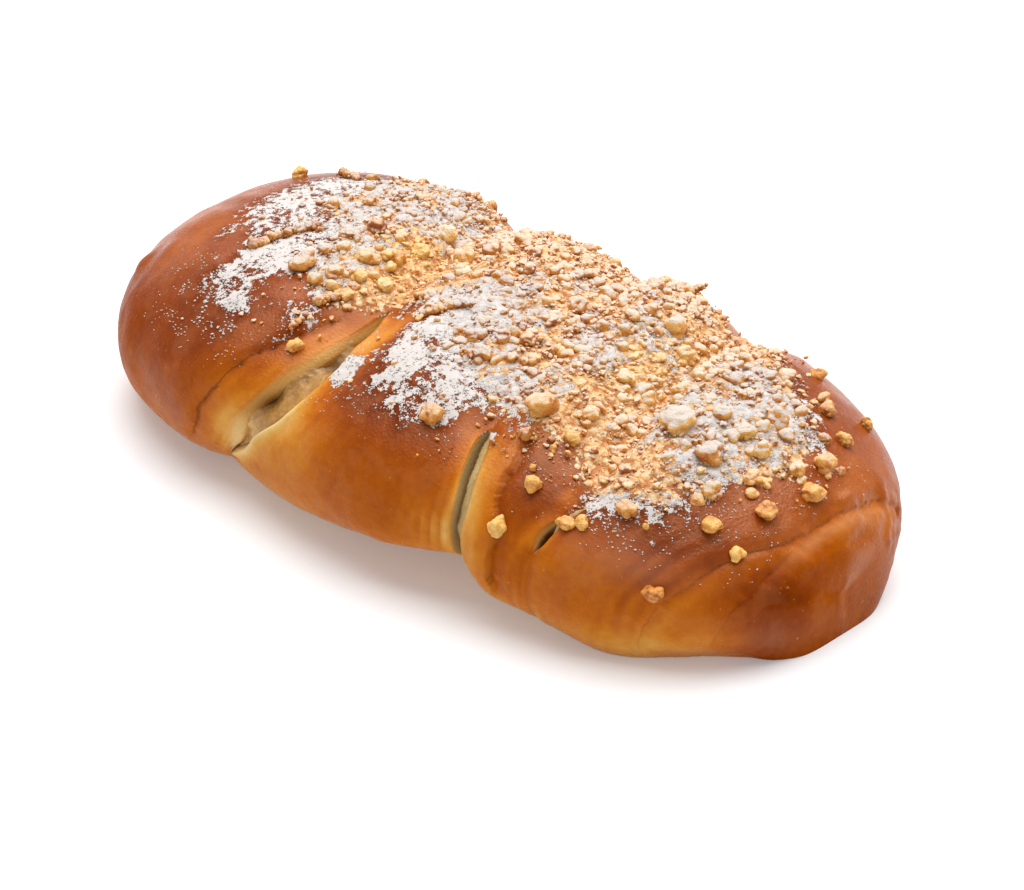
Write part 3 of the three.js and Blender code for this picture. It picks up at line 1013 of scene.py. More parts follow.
@dataclass
class DoughLoaf:
    """The dough: four lobes, the folds between them, which are slit open in part, creases and a baked skin.

    Lumps, wrinkles and drift are pairs of spacing and height. An onset says where something sets in, and an
    end or top where it runs out: by place along the loaf, by angle, or by the share of a slit's depth. grain
    holds the places that the ends, the folds and the end seam have on dough that isn't stretched.
    """

    finish: CrustFinish
    form: LoafForm = LoafForm(half_length=130, half_width=69.5, crown=62, keel=-8)
    folds: tuple[Fold, ...] = (
        Fold(
            run=(
                (-50, -55), (-5, -41.5), (18, -30), (45, -23), (57, -21.7), (68, -21.3), (90, -28),
                (112, -38), (180, -46), (230, -48),
            ),
            slit=((-24, 0.4), (-4, 6), (18, 7.8), (45, 7.2), (57, 4.2), (67, 2.4), (77, 0.4)),
            dip=((-50, 3.5), (10, 4), (60, 6.5), (110, 8.5), (180, 6), (230, 2)),
            reach=(22, 34), paling=(5, 11), pale=(0.14, 0.36), slope=0.2, lip=0.9,
            shoulder=((-24, 0.66), (-6, 0.6), (8, 0.3), (22, 0.2), (34, 0.28), (48, 0.38)),
            filling=((-1, 1.4), (-0.5, 2.6), (-0.16, 3.2), (0.1, 4.4), (0.45, 4.4), (1, 3.6)),
        ),
        Fold(
            run=(
                (-50, 43.5), (-5, 45.5), (18, 46.8), (31, 45), (45, 42), (85, 33), (125, 16), (180, 8),
                (230, 6),
            ),
            slit=((-34, 0.4), (-18, 1.6), (0, 2.1), (18, 2.6), (36, 2.8), (46, 2.3), (52, 0.4)),
            dip=((-50, 9.5), (-10, 6), (20, 4), (60, 4), (110, 4.5), (180, 4), (230, 2)),
            reach=(42, 12), paling=(5, 10), pale=(0.24, 0.19), slope=0.04, lip=0.5, smear=1.0,
            shoulder=((-24, 0.08), (50, 0.08)),
            filling=((-1, 2.2), (-0.4, 1.5), (0.4, 1.5), (1, 2.4)),
        ),
        Fold(
            run=((-50, 68), (18, 73), (48, 78), (80, 69), (112, 59), (180, 52), (230, 50)),
            slit=((6, 0.4), (16, 1.9), (26, 2.0), (37, 0.4), (62, 0.4)),
            dip=((-50, 0.5), (20, 4), (60, 8), (110, 9.5), (180, 6), (230, 2)),
            reach=(38, 15), paling=(6, 3), pale=(0.16, 0.1), slope=0.12, lip=0.8, smear=0.4,
            shoulder=((-24, 0.4), (50, 0.4)),
            filling=((-1, 1.6), (1, 2.6)),
        ),
    )
    creases: tuple[Crease, ...] = (
        Crease(
            ((-24, -66), (-15, -62), (10, -53), (30, -45), (55, -33), (68, -27)),
            depth=1.0, width=1.3, step=1.0, line_shade=0.5, band=0.1, band_reach=14,
        ),
        Crease(
            ((-26, 58), (13, 59.5), (32, 56), (48, 53.5), (62, 51)),
            depth=0.8, width=2.4, step=2.2, line_shade=0, shade=0.13,
        ),
        Crease(
            ((-34, 99), (20, 112), (50, 118), (64, 121.5), (90, 122.5), (180, 122)),
            depth=1.2, width=1.6, step=1.4, line_shade=0.18, band=0.1, band_reach=6, waver=0.4, softened=0.6,
        ),
        Crease(
            ((-24, 116), (0, 120), (22, 122.8), (66, 123.5)),
            depth=0.9, width=1.2, step=0.9, line_shade=0.15, waver=0.2, softened=0.5,
        ),
    )
    middle_fold: int = 1
    end_seam: int = 2
    tucks: tuple[Tuck, ...] = (Tuck(26, 28, 5.4), Tuck(88, 14, -3), Tuck(117, 16, 2.4))
    blisters: Patches = ovals((-112.5, 41, 2.2, 6.0, 1.4), (-104, 54, 3.0, 6.0, 0.5))
    # The insides of the slits
    slit_depth: float = 14.0
    skin_share: float = 0.05
    slope_power: float = 1.5
    cliff_width: float = 0.14
    right_wall_width: float = 0.1
    # Shade painted on the slit walls: darker deeper in, and in patches where hollows lie
    pit_shades: Patches = ovals((0.5, 20, 0.3, 6, 0.9), (0.6, 46, 0.3, 4, 0.8), (0.7, 57, 0.35, 6, 0.7))
    depth_shade: Rise = Rise(0.2, 0.7, 0.4)
    pit_shade_onset: Span = (0.0, 0.15)
    slit_colour: float = 0.92
    slit_colour_onset: Span = (0.002, 0.1)
    smear_sharpening: float = 0.02
    cream_top: Span = (-4, 12)
    # Browning, with sheen and shade painted in by some tone patches
    browning_round: Pairs = (
        (-50, 0.34), (-25, 0.46), (-5, 0.6), (15, 0.66), (35, 0.75), (60, 0.76), (90, 0.72), (130, 0.74),
        (165, 0.72), (185, 0.62), (205, 0.48), (230, 0.34),
    )
    browning_lengthways: Pairs = (
        (-130, 0.05), (-100, 0.06), (-70, 0.08), (-50, 0.0), (-20, -0.05), (10, 0.02), (35, -0.04),
        (60, -0.06), (80, 0.0), (105, 0.02), (130, 0.04),
    )
    end_browning: float = 0.68
    end_browning_onset: Span = (112, 126)
    # Some tone patches paint light: the paler (-98, 66), (124.4, 92) and (126, 140) a sheen, the darker (126,
    # 18) shade.
    tones: Patches = ovals(
        (-17, 12, 11, 14, -0.2), (-12, 60, 3, 12, -0.3), (51, 25, 5, 28, -0.2),
        (73.5, 41.5, 2.2, 7, -0.24), (40, 0, 6, 10, -0.14), (104, -26, 18, 9, -0.16),
        (117, -14, 4, 6, -0.12), (-45, -2, 5, 8, -0.14), (92, 40, 14, 10, 0.06), (-60, 34, 22, 12, 0.08),
        (-98, 66, 20, 22, -0.13), (-94, 18, 14, 14, 0.05), (-47, 14, 6, 12, -0.06), (12, 36, 16, 9, 0.08),
        (61, 42, 4, 16, 0.08), (68, 39, 5, 8, 0.08), (66, 26, 5, 8, 0.05), (126, 18, 5, 24, 0.19),
        (122, -26, 9, 12, 0.1), (124.4, 92, 0.9, 36, -0.14), (28, 18, 9, 10, 0.06), (104, 16, 5, 10, 0.1),
        (116, 112, 10, 20, -0.06), (96, 22, 12, 10, -0.06), (-30, -4, 8, 8, -0.05),
        (126, 140, 6, 24, -0.06), (125, -14, 5, 9, -0.04), (84, 6, 16, 12, -0.05), (112, -2, 7, 9, -0.09),
    )
    tones_end: Span = (128.4, 129.9)
    streak_tone: float = 0.09
    pleat_tone: float = 0.11
    powder_tone: float = 0.26
    paling_power: float = 1.3
    lip_paling_and_highlight: float = 0.05
    lip_paling_and_highlight_reach: float = 1.1
    slit_browning: float = 0.42
    slit_browning_onset: Span = (0.0, 0.16)
    tip_browning: float = 0.6
    # Layers, pleats and stretch marks
    layers: Patch = Patch(39.5, 1, 5, 9, 1.0)
    layer_spacing: float = 3.4
    pleats: Patch = Patch(-7, 12, 6, 28, 0.5)
    pleat_spacing: float = 5.2
    pleat_drift: Pairs = ((15, 2.4),)
    pleat_height: float = 0.4
    grain: tuple[float, ...] = (-130, -30, 46, 74, 114, 130)
    streak_width: float = 2.6
    streak_length: float = 26.0
    streak_drift: float = 0.013
    fine_streak: float = 0.6
    fine_streak_factor: float = 2.3
    fine_streak_shift: float = 9.0
    streak_height: float = 0.3
    streaks_away: float = 0.2
    streaks_reach: float = 9.0
    streaks_top: Span = (48, 70)
    streaks_end: Span = (104, 120)
    # Relief of the skin
    skin_lumps: Pairs = ((17, 0.5), (6.5, 0.25))
    end_wrinkles: Pairs = ((5.3, 0.8), (2.4, 0.42))
    wrinkles_onset: Span = (114, 124)
    wrinkles_end: Span = (127, 129.6)
    wrinkles_round: Span = (-35, 5)
    lip_reach: float = 2.6
    left_lip: float = 0.3
    relief_end: Span = (126.5, 129)
    crumble_onset: Span = (0.25, 0.85)
    tip_from: float = 128.4
    tip_round: float = 0.3
    # Lines of shade painted in the creases
    seam_far: float = 4.0
    seam_fade: Span = (2, 3)
    # Gloss
    least_gloss: float = 0.06
    wash_gloss: Rise = Rise(8, 62, 0.42)
    matt_zones: tuple[MattZone, ...] = (
        MattZone(Rise(-96, -122, 0.7)),
        MattZone(Rise(-72, -92, 0.85), (26, 52)),
        MattZone(Rise(112, 124, 0.85), (26, 52)),
        MattZone(Rise(118, 125, 0.93), (92, 114)),
    )
    tip_gloss: float = 0.1
    powder_matt: Rise = Rise(0.1, 0.5, 0.8)
    # Columns and rows of the mesh
    lobe_columns: tuple[int, ...] = (98, 74, 38, 102)
    wall_columns: int = 9
    bed_columns: int = 4
    row_angles: tuple[float, ...] = (-52, 35, 140, 232)
    row_counts: tuple[int, ...] = (72, 116, 44)
    base_angles: tuple[float, ...] = (-90, -82, -74, -66, -59)
    noise: LatticeNoise = field(default_factory=lambda: LatticeNoise(311))

    def depth(self, x: Array, angle: Array) -> Array:
        """Measures the valleys, creases and tucks.

        Args:
            x: Places along the loaf.
            angle: Places round it.

        Returns:
            Their depth at each place.
        """
        depth = np.zeros(np.broadcast(x, angle).shape)
        for fold in self.folds:
            offset, beyond = fold.beyond(x, angle)
            reach = np.where(offset < 0, *fold.reach)
            depth += along(fold.dip, angle) * np.maximum(1 - beyond / reach, 0) ** 2
        for form in (*self.creases, *self.tucks):
            depth += form.relief(x, angle)
        return depth

    def seams(self, x: Array, angle: Array) -> Values:
        """Measures from the creases for their painted lines of shade, in two sets so neighbours stay apart.

        Args:
            x: Places along the loaf.
            angle: Places round it.

        Returns:
            For each set the distance from the nearest crease in widths, and how dark its line of shade is.
        """
        values = {}
        for key, creases in zip(SEAM_SETS, (self.creases[::2], self.creases[1::2])):
            away = np.full(x.shape, self.seam_far)
            line_shade = np.zeros(x.shape)
            for crease in creases:
                offset = crease.offset(x, angle) / crease.width
                near = np.abs(offset) < np.abs(away)
                away = np.where(near, offset, away)
                line_shade = np.where(near, crease.line_shade * crease.strength(x, angle), line_shade)
            values[key] = with_ends(away, self.seam_far)
            values[key + "_line_shade"] = with_ends(line_shade * smooth_fall(np.abs(away), *self.seam_fade))
        return values

    def streaks(self, x: Array, angle: Array) -> Array:
        """Draws the dough's stretch marks, which run round the loaf and bend with its folds and end seam.

        Args:
            x: Places along the loaf.
            angle: Places round it.

        Returns:
            Their strength, from about -1 to 1.
        """
        half = self.form.half_length
        stations = [fold.run for fold in self.folds] + [self.creases[self.end_seam].run]
        lines = [-half + 0 * angle, *(along(run, angle) for run in stations), half + 0 * angle]
        grain = np.zeros(np.broadcast(x, angle).shape)
        for (left, right), (start, stop) in zip(pairwise(lines), pairwise(self.grain)):
            share = (x - left) / np.maximum(right - left, 1)
            grain = np.where((x >= left) & (x <= right), start + (stop - start) * share, grain)
        drift = self.streak_drift * grain
        flat = np.broadcast_arrays(grain / self.streak_width, angle / self.streak_length, drift)
        coarse = np.stack(flat, -1)
        fine = coarse * self.fine_streak_factor + self.fine_streak_shift
        return self.noise.at(coarse, 1) + self.fine_streak * self.noise.at(fine, 1)

    def streaked(self, x: Array, angle: Array) -> Array:
        """Tells how much the stretch marks show: most beside the folds, and not at the crown and the ends.

        Args:
            x: Places along the loaf.
            angle: Places round it.

        Returns:
            0 to 1.
        """
        near = self.streaks_away + 0 * x * angle
        for fold in self.folds:
            _, beyond = fold.beyond(x, angle)
            near = np.maximum(near, np.exp(-beyond / self.streaks_reach))
        return near * smooth_fall(angle, *self.streaks_top) * smooth_fall(np.abs(x), *self.streaks_end)

    def pleating(self, x: Array, angle: Array) -> Array:
        """Draws the soft pleats left of the end seam and the layers of dough left of the middle fold.

        Args:
            x: Places along the loaf.
            angle: Places round it.

        Returns:
            Their height, from about -1 to 1.
        """
        offset = self.creases[self.end_seam].offset(x, angle)
        uneven = offset + self.noise.mixed(self.form.point(x, angle), self.pleat_drift)
        pleats = self.pleats.weight(offset, angle) * np.cos(2 * math.pi * uneven / self.pleat_spacing)
        from_fold, _ = self.folds[self.middle_fold].beyond(x, angle)
        layers = self.layers.weight(x, angle) * np.cos(2 * math.pi * from_fold / self.layer_spacing)
        return pleats + layers

    def surface(self, x: Array, angle: Array) -> Array:
        """Gives points of the skin beside the slits.

        Args:
            x: Places along the loaf.
            angle: Places round it.

        Returns:
            The points, with x, y and z last.
        """
        smooth = self.form.point(x, angle)
        depth = self.depth(x, angle)
        relief = self.noise.mixed(smooth, self.skin_lumps)
        relief += self.streak_height * self.streaks(x, angle) * self.streaked(x, angle)
        relief += self.pleat_height * self.pleating(x, angle)
        relief += patch_sum(self.blisters, x, angle)
        relief += sum(crease.softened * crease.relief(x, angle) for crease in self.creases)
        end = smooth_rise(smooth[..., 0], *self.wrinkles_onset) * smooth_fall(x, *self.wrinkles_end)
        end = end * smooth_rise(climb(angle), *self.wrinkles_round)
        relief += end * self.noise.mixed(smooth, self.end_wrinkles)
        for fold in self.folds:
            offset, beyond = fold.beyond(x, angle)
            curl = fold.lip * fold.openness(angle) * np.exp(-((beyond / self.lip_reach) ** 2))
            relief += np.where(offset > 0, curl, self.left_lip * curl)
        relief = relief * smooth_fall(np.abs(x), *self.relief_end)
        return smooth + self.form.normal(x, angle) * (relief - depth)[..., None]

    def wall_profile(self, fold: Fold, angles: Array) -> tuple[Array, Array]:
        """Works out the section of a slit.

        Args:
            fold: The fold with the slit.
            angles: Places round the loaf.

        Returns:
            Places across the slit from -1 to 1 and the share of its depth there, each with a row a column.
        """
        t = np.linspace(0, 1, self.wall_columns + 1)[1:, None] + 0 * angles
        down = smooth_rise(t, 0, 1)
        slope = -1 + 2 * along(fold.shoulder, angles) * t
        slope_down = fold.slope * t**self.slope_power
        cliff = slope[-1] + self.cliff_width * t
        cliff_down = fold.slope + (1 - fold.slope) * down
        right = 1 - self.right_wall_width * t[::-1]
        bed = np.linspace(cliff[-1], right[0], self.bed_columns + 1)[1:-1]
        across = np.concatenate([slope, cliff, bed, right])
        depth = np.concatenate([slope_down, cliff_down, np.ones_like(bed), down[::-1]])
        return across, depth * fold.openness(angles)

    def grid(self) -> tuple[Array, Array, Array]:
        """Lays out the columns of the skin, which follow the lips of the slits.

        Returns:
            x, angle and the share of a slit's depth, each with one row a column.
        """
        spans = zip(pairwise(self.row_angles), self.row_counts)
        rows = [np.linspace(first, last, count, endpoint=False) for (first, last), count in spans]
        angles = np.concatenate([self.base_angles, *rows, BACK - np.array(self.base_angles[:0:-1])])
        columns: list[Array] = []
        shares: list[Array] = []
        level = np.zeros_like(angles)
        slits = [(along(fold.run, angles), along(fold.slit, angles)) for fold in self.folds]
        lips = [np.full_like(angles, -self.form.half_length)]
        for middle, half in slits:
            lips += [middle - half, middle + half]
        lips.append(np.full_like(angles, self.form.half_length))
        for lobe, count in enumerate(self.lobe_columns):
            left, right = lips[2 * lobe], lips[2 * lobe + 1]
            t = np.linspace(0, 1, count + 1)
            if lobe == 0:
                t = (1 - np.cos(t * math.pi / 2))[1:]
            elif lobe == len(self.folds):
                t = np.sin(t * math.pi / 2)[:-1]
            columns += [left + (right - left) * share for share in t]
            shares += [level] * len(t)
            if lobe < len(self.folds):
                middle, half = slits[lobe]
                across, down = self.wall_profile(self.folds[lobe], angles)
                columns += list(middle + across[:-1] * half)
                shares += list(down[:-1])
        x = np.array(columns)
        return x, np.broadcast_to(angles, x.shape), np.array(shares)

    def browning_sheen_and_shade(self, x: Array, angle: Array, share: Array, powder: Array) -> Array:
        """Works out how brown the dough is, with sheen and shade painted in as paler and darker places.

        Args:
            x: Places along the loaf.
            angle: Places round it.
            share: The share of a slit's depth at each place.
            powder: How thick the powder lies, which has drawn the crust darker.

        Returns:
            0 for pale dough to 1 for dark crust.
        """
        end = smooth_rise(np.abs(x), *self.end_browning_onset)
        brown = along(self.browning_round, angle) * (1 - end) + self.end_browning * end
        brown = brown + along(self.browning_lengthways, x)
        # Tone patches: browning, and in some of them painted sheen and shade.
        brown = brown + patch_sum(self.tones, x, angle) * smooth_fall(np.abs(x), *self.tones_end)
        brown = brown - self.streak_tone * self.streaks(x, angle) * self.streaked(x, angle)
        brown = brown - self.pleat_tone * self.pleating(x, angle) + self.powder_tone * powder
        for crease in self.creases:
            brown -= crease.paling(x, angle)
        for fold in self.folds:
            offset, beyond = fold.beyond(x, angle)
            reach = np.where(offset < 0, *fold.paling)
            pale = np.where(offset < 0, *fold.pale)
            # The right lip is paler, partly as dough at the cut edge and partly as a painted highlight along
            # it.
            lip = np.where(offset < 0, 0, self.lip_paling_and_highlight)
            brown -= pale * fold.openness(angle) * np.maximum(1 - beyond / reach, 0) ** self.paling_power
            brown -= lip * fold.openness(angle) * np.exp(-((beyond / self.lip_paling_and_highlight_reach) ** 2))
        inside = smooth_rise(share, *self.slit_browning_onset)
        return np.clip(brown * (1 - inside) + self.slit_browning * inside, 0, 1)

    def gloss(self, x: Array, angle: Array, powder: Array) -> Array:
        """Tells how glossy the crust is: egg wash was brushed on from above, less at the ends.

        Args:
            x: Places along the loaf.
            angle: Places round it.
            powder: How thick the powder lies, which dulls the crust.

        Returns:
            The strength of its sheen.
        """
        gloss = self.least_gloss + self.wash_gloss.at(climb(angle))
        for zone in self.matt_zones:
            gloss = gloss * zone.gloss_left(x, angle)
        return gloss * (1 - self.powder_matt.at(powder))

    def slit_values(self, x: Array, angle: Array, share: Array) -> Values:
        """Works out how the insides of the slits look, with shade painted deeper in and in their pits.

        Args:
            x: Places along the loaf.
            angle: Places round it.
            share: The share of a slit's depth at each place.

        Returns:
            Values for the points of the rings and the two end points, by name.
        """
        smear = sum(fold.smear * fold.within(x, angle) for fold in self.folds)
        # Painted shade: darker deeper in each slit and in its pits, none where the slit is grey.
        pit_shade = (self.depth_shade.at(share) + patch_sum(self.pit_shades, share, angle)) * (1 - smear)
        pit_shade = pit_shade * smooth_rise(share, *self.pit_shade_onset)
        low, high = self.slit_colour_onset
        slit = self.slit_colour * smooth_rise(share, low, high - self.smear_sharpening * smear)
        return {
            "slit": with_ends(slit),
            "smear": with_ends(smear),
            "cream": with_ends(smooth_fall(angle, *self.cream_top)),
            "pit_shade": with_ends(np.clip(pit_shade, 0, 1)),
        }

    def build(self, sugar: "SugarDust", crumble: "ButterCrumble") -> None:
        """Builds and dresses the dough.

        Args:
            sugar: The powder that lies on it.
            crumble: The crumble, whose finest crumbs are baked into its skin.
        """
        x, angle, share = self.grid()
        points = self.surface(x, angle)
        outside = share < self.skin_share
        powder = sugar.density(x, angle) * outside
        cover = smooth_rise(crumble.cover(x, angle), *self.crumble_onset) * outside
        rough = crumble.relief(points, cover) + sugar.relief(points, powder)
        points += self.form.normal(x, angle) * (rough - self.slit_depth * share)[..., None]
        points[..., 2] = np.maximum(points[..., 2], 0)
        past = np.maximum(np.abs(points[..., 0]) - self.tip_from, 0)
        points[..., 0] -= np.sign(points[..., 0]) * self.tip_round * past**2
        form = self.form
        tip = form.half_length - self.tip_round * (form.half_length - self.tip_from) ** 2
        ends = [[-tip, form.end_sweep, form.left.tip], [tip, form.end_sweep, form.right.tip]]
        everything = np.concatenate([points.reshape(-1, 3), ends])
        values = {
            "browning_sheen_and_shade": with_ends(self.browning_sheen_and_shade(x, angle, share, powder), self.tip_browning),
            **self.seams(x, angle),
            "crumble": with_ends(cover),
            "filmed": with_ends(1 - patch_sum(crumble.bare, x, angle)),
            **self.slit_values(x, angle, share),
            "gloss": with_ends(self.gloss(x, angle, powder), self.tip_gloss),
            "sugar": with_ends(powder),
            "dust_and_sheen": with_ends(sugar.dust_and_sheen(x, angle) * outside),
        }
        mesh_data = (everything, ring_faces(*x.shape), values)
        make_piece("dough_loaf", Node.DOUGH, mesh_data, self.finish.material())


@dataclass
class QuarkFilling:
    """The quark inside, which shows in the slits.

    curds gives spacing and height of its lumps; where they and the hollows lie low, shade is painted darker.
    """

    finish: QuarkFinish
    form: LoafForm = LoafForm(half_length=113, half_width=57.5, crown=48, keel=8)
    hollows: Patches = ovals((-33.5, 20, 3.4, 6, -3.6), (-22, 45, 2.2, 4, -2.6), (-20, 57, 1.8, 5, -2.0))
    # A patch of light painted paler over the filling's lower tip, which lies in shade.
    painted_light: Patches = ovals((-39, 0, 5, 7, 0.3))
    curds: Pairs = ((5.5, 0.5), (2.1, 0.35))
    least_depth: float = 0.3
    opening: Span = (0.0, 0.3)
    wall: Span = (1.0, 1.3)
    shallowest: float = 0.3
    tone: float = 0.46
    low_spot_shade: float = 0.12
    tip_tone: float = 0.5
    grey_onset: Span = (20, 30)
    x_marks: tuple[float, ...] = (-113, -109, -100, -50, -8, 38, 54, 66, 84, 100, 109, 113)
    x_counts: tuple[int, ...] = (5, 6, 14, 70, 14, 30, 6, 24, 6, 6, 5)
    angle_marks: tuple[float, ...] = (-24, 80, 336)
    angle_counts: tuple[int, ...] = (104, 44)
    noise: LatticeNoise = field(default_factory=lambda: LatticeNoise(902))

    def spread(self, marks: tuple[float, ...], counts: tuple[int, ...]) -> Array:
        """Lays out places, with a count between two marks each, and without the last mark."""
        parts = zip(pairwise(marks), counts)
        return np.concatenate([np.linspace(*ends, count, endpoint=False) for ends, count in parts])

    def swell(self, loaf: DoughLoaf, smooth: Array, x: Array, angle: Array, uneven: Array) -> Array:
        """Tells how far the filling bulges up into the slits, where it stays below the dough's skin.

        Args:
            loaf: The dough round it.
            smooth: Points of the filling without its bulges.
            x: Places along the loaf.
            angle: Places round it.
            uneven: The height of its curds and hollows.

        Returns:
            The height at each place.
        """
        gap = np.linalg.norm(loaf.surface(x, angle) - smooth, axis=-1)
        height = uneven.copy()
        for fold in loaf.folds:
            offset, _ = fold.beyond(x, angle)
            across = offset / along(fold.slit, angle)
            openness = fold.openness(angle)
            inside = smooth_rise(openness, *self.opening) * smooth_fall(np.abs(across), *self.wall)
            level = along(fold.filling, across) * (self.shallowest + (1 - self.shallowest) * openness)
            height += inside * np.maximum(gap - level, 0)
        return np.minimum(height, gap - self.least_depth)

    def build(self, loaf: DoughLoaf) -> None:
        """Builds and dresses the filling.

        Args:
            loaf: The dough round it.
        """
        x = self.spread(self.x_marks, self.x_counts)[1:, None]
        angle = self.spread(self.angle_marks, self.angle_counts)[None, :]
        x, angle = np.broadcast_arrays(x, angle)
        signed = np.where(angle > BACK + CROWN, angle - 2 * BACK, angle)
        smooth = self.form.point(x, angle)
        curd = self.noise.mixed(smooth, self.curds)
        hollow = patch_sum(self.hollows, x, signed)
        bulge = self.swell(loaf, smooth, x, signed, curd + hollow)
        points = smooth + self.form.normal(x, angle) * bulge[..., None]
        half = self.form.half_length
        ends = self.form.point(np.array([-half, half]), np.zeros(2))
        # Colour value: painted darker as shade in hollows and low curds, and paler as painted light at the
        # lower tip.
        height = self.tone + self.low_spot_shade * (hollow + curd) + patch_sum(self.painted_light, x, signed)
        values = {
            "height": with_ends(np.clip(height, 0, 1), self.tip_tone),
            "grey": with_ends(smooth_rise(x, *self.grey_onset)),
        }
        mesh_data = (np.concatenate([points.reshape(-1, 3), ends]), ring_faces(*x.shape), values)
        make_piece("quark_core", Node.QUARK, mesh_data, self.finish.material())


def ball(level: int) -> tuple[Array, Array]:
    """Makes a ball of even triangles.

    Args:
        level: How often the 20 sides are split into four.

    Returns:
        Its points, at distance 1 from the middle, and its triangles.
    """
    golden = (1 + math.sqrt(5)) / 2
    points = [(-1, golden, 0), (1, golden, 0), (-1, -golden, 0), (1, -golden, 0)]
    points += [(0, -1, golden), (0, 1, golden), (0, -1, -golden), (0, 1, -golden)]
    points += [(golden, 0, -1), (golden, 0, 1), (-golden, 0, -1), (-golden, 0, 1)]
    points = [np.array(p) / math.sqrt(1 + golden * golden) for p in points]
    faces = [(0, 11, 5), (0, 5, 1), (0, 1, 7), (0, 7, 10), (0, 10, 11)]
    faces += [(1, 5, 9), (5, 11, 4), (11, 10, 2), (10, 7, 6), (7, 1, 8)]
    faces += [(3, 9, 4), (3, 4, 2), (3, 2, 6), (3, 6, 8), (3, 8, 9)]
    faces += [(4, 9, 5), (2, 4, 11), (6, 2, 10), (8, 6, 7), (9, 8, 1)]
    for _ in range(level):
        middles: dict[tuple[int, int], int] = {}
        split = []
        for face in faces:
            inner = []
            for a, b in zip(face, face[1:] + face[:1]):
                key = (min(a, b), max(a, b))
                if key not in middles:
                    middles[key] = len(points)
                    middle = points[a] + points[b]
                    points.append(middle / np.linalg.norm(middle))
                inner.append(middles[key])
            split += [(face[0], inner[0], inner[2]), (face[1], inner[1], inner[0])]
            split += [(face[2], inner[2], inner[1]), tuple(inner)]
        faces = split
    return np.array(points), np.array(faces)


def random_turns(count: int, draw: Draw) -> Array:
    """Draws turns in space.

    Args:
        count: How many.
        draw: The seeded source.

    Returns:
        One turning matrix each.
    """
    turns = draw.normal(size=(count, 4))
    w, x, y, z = turns.T / np.linalg.norm(turns, axis=1)
    rows = [
        [1 - 2 * (y * y + z * z), 2 * (x * y - w * z), 2 * (x * z + w * y)],
        [2 * (x * y + w * z), 1 - 2 * (x * x + z * z), 2 * (y * z - w * x)],
        [2 * (x * z - w * y), 2 * (y * z + w * x), 1 - 2 * (x * x + y * y)],
    ]
    return np.moveaxis(np.array(rows), -1, 0)


@dataclass
class Lumps:
    """Many small lumps to be joined in one mesh: where each lies, its radius, toast and powder.

    rise is the height of a lump's middle over the dough, as a share of its radius, and strewn how much
    powder was strewn round it.
    """

    x: Array
    angle: Array
    radius: Array
    rise: Array
    toast: Array
    sugar: Array
    strewn: Array


@dataclass(frozen=True)
class LumpShape:
    """How lumps are shaped: a core with round knobs on it.

    level is how often the sides of the ball are split, core the core's radius and knob_radius the least and
    greatest radius of a knob, both as shares of the lump's own, and flatness its height as such a share.
    stretch is the least and greatest factor on its length each way, and rough how uneven its skin is, with
    the skin's lumps by spacing and height. Places lying lower than even_relief are painted darker as shade.
    """

    level: int
    knobs: int
    core: float
    knob_radius: Span
    flatness: float
    stretch: Span = (0.85, 1.15)
    rough: float = 0.0
    smooth: bool = True
    knob_distance: Span = (0.8, 1.05)
    skin: Pairs = ((0.9, 1.0), (0.37, 0.7))
    skin_spread: float = 30.0
    hollow_shade: float = 0.4
    even_relief: float = 0.6
    noise: LatticeNoise = field(default_factory=lambda: LatticeNoise(29))

    def mesh(self, loaf: DoughLoaf, lumps: Lumps, draw: Draw) -> tuple[Array, Array, Values]:
        """Shapes lumps and sets them on the loaf.

        Args:
            loaf: What they lie on.
            lumps: The lumps.
            draw: The seeded source.

        Returns:
            Points, triangles and values at the points.
        """
        directions, faces = ball(self.level)
        count, size = len(lumps.x), len(directions)
        reach = np.full((count, size), self.core)
        for _ in range(self.knobs):
            knob = draw.normal(size=(count, 3))
            knob /= np.linalg.norm(knob, axis=1, keepdims=True)
            radius = draw.uniform(*self.knob_radius, (count, 1))
            distance = (1 - radius) * draw.uniform(*self.knob_distance, (count, 1))
            cosine = knob @ directions.T
            spare = radius**2 - distance**2 * (1 - cosine**2)
            far = distance * cosine + np.sqrt(np.maximum(spare, 0))
            reach = np.where((spare > 0) & (cosine > 0), np.maximum(reach, far), reach)
        relief = (reach - self.core) / (1 - self.core)
        place = directions[None] + draw.uniform(0, self.skin_spread, (count, 1, 3))
        reach = reach * (1 + self.rough * self.noise.mixed(place, self.skin))
        axes = draw.uniform(*self.stretch, (count, 1, 3)) * np.array([1, 1, self.flatness])
        shaped = directions[None] * reach[..., None]
        turned = np.einsum("nij,nvj->nvi", random_turns(count, draw), shaped) * axes
        out = loaf.form.normal(lumps.x, lumps.angle)
        middle = loaf.surface(lumps.x, lumps.angle) + out * (lumps.rise * lumps.radius)[:, None]
        points = middle[:, None] + turned * lumps.radius[:, None, None]
        triangles = faces[None] + (np.arange(count) * size)[:, None, None]
        # Lower places between the knobs are painted darker, as shade.
        toast = lumps.toast[:, None] + self.hollow_shade * (self.even_relief - relief)
        values = {
            "toast": np.clip(toast, 0, 1).ravel(),
            "sugar": np.repeat(lumps.sugar, size),
            "strewn": np.repeat(lumps.strewn, size),
        }
        return points.reshape(-1, 3), triangles.reshape(-1, 3), values


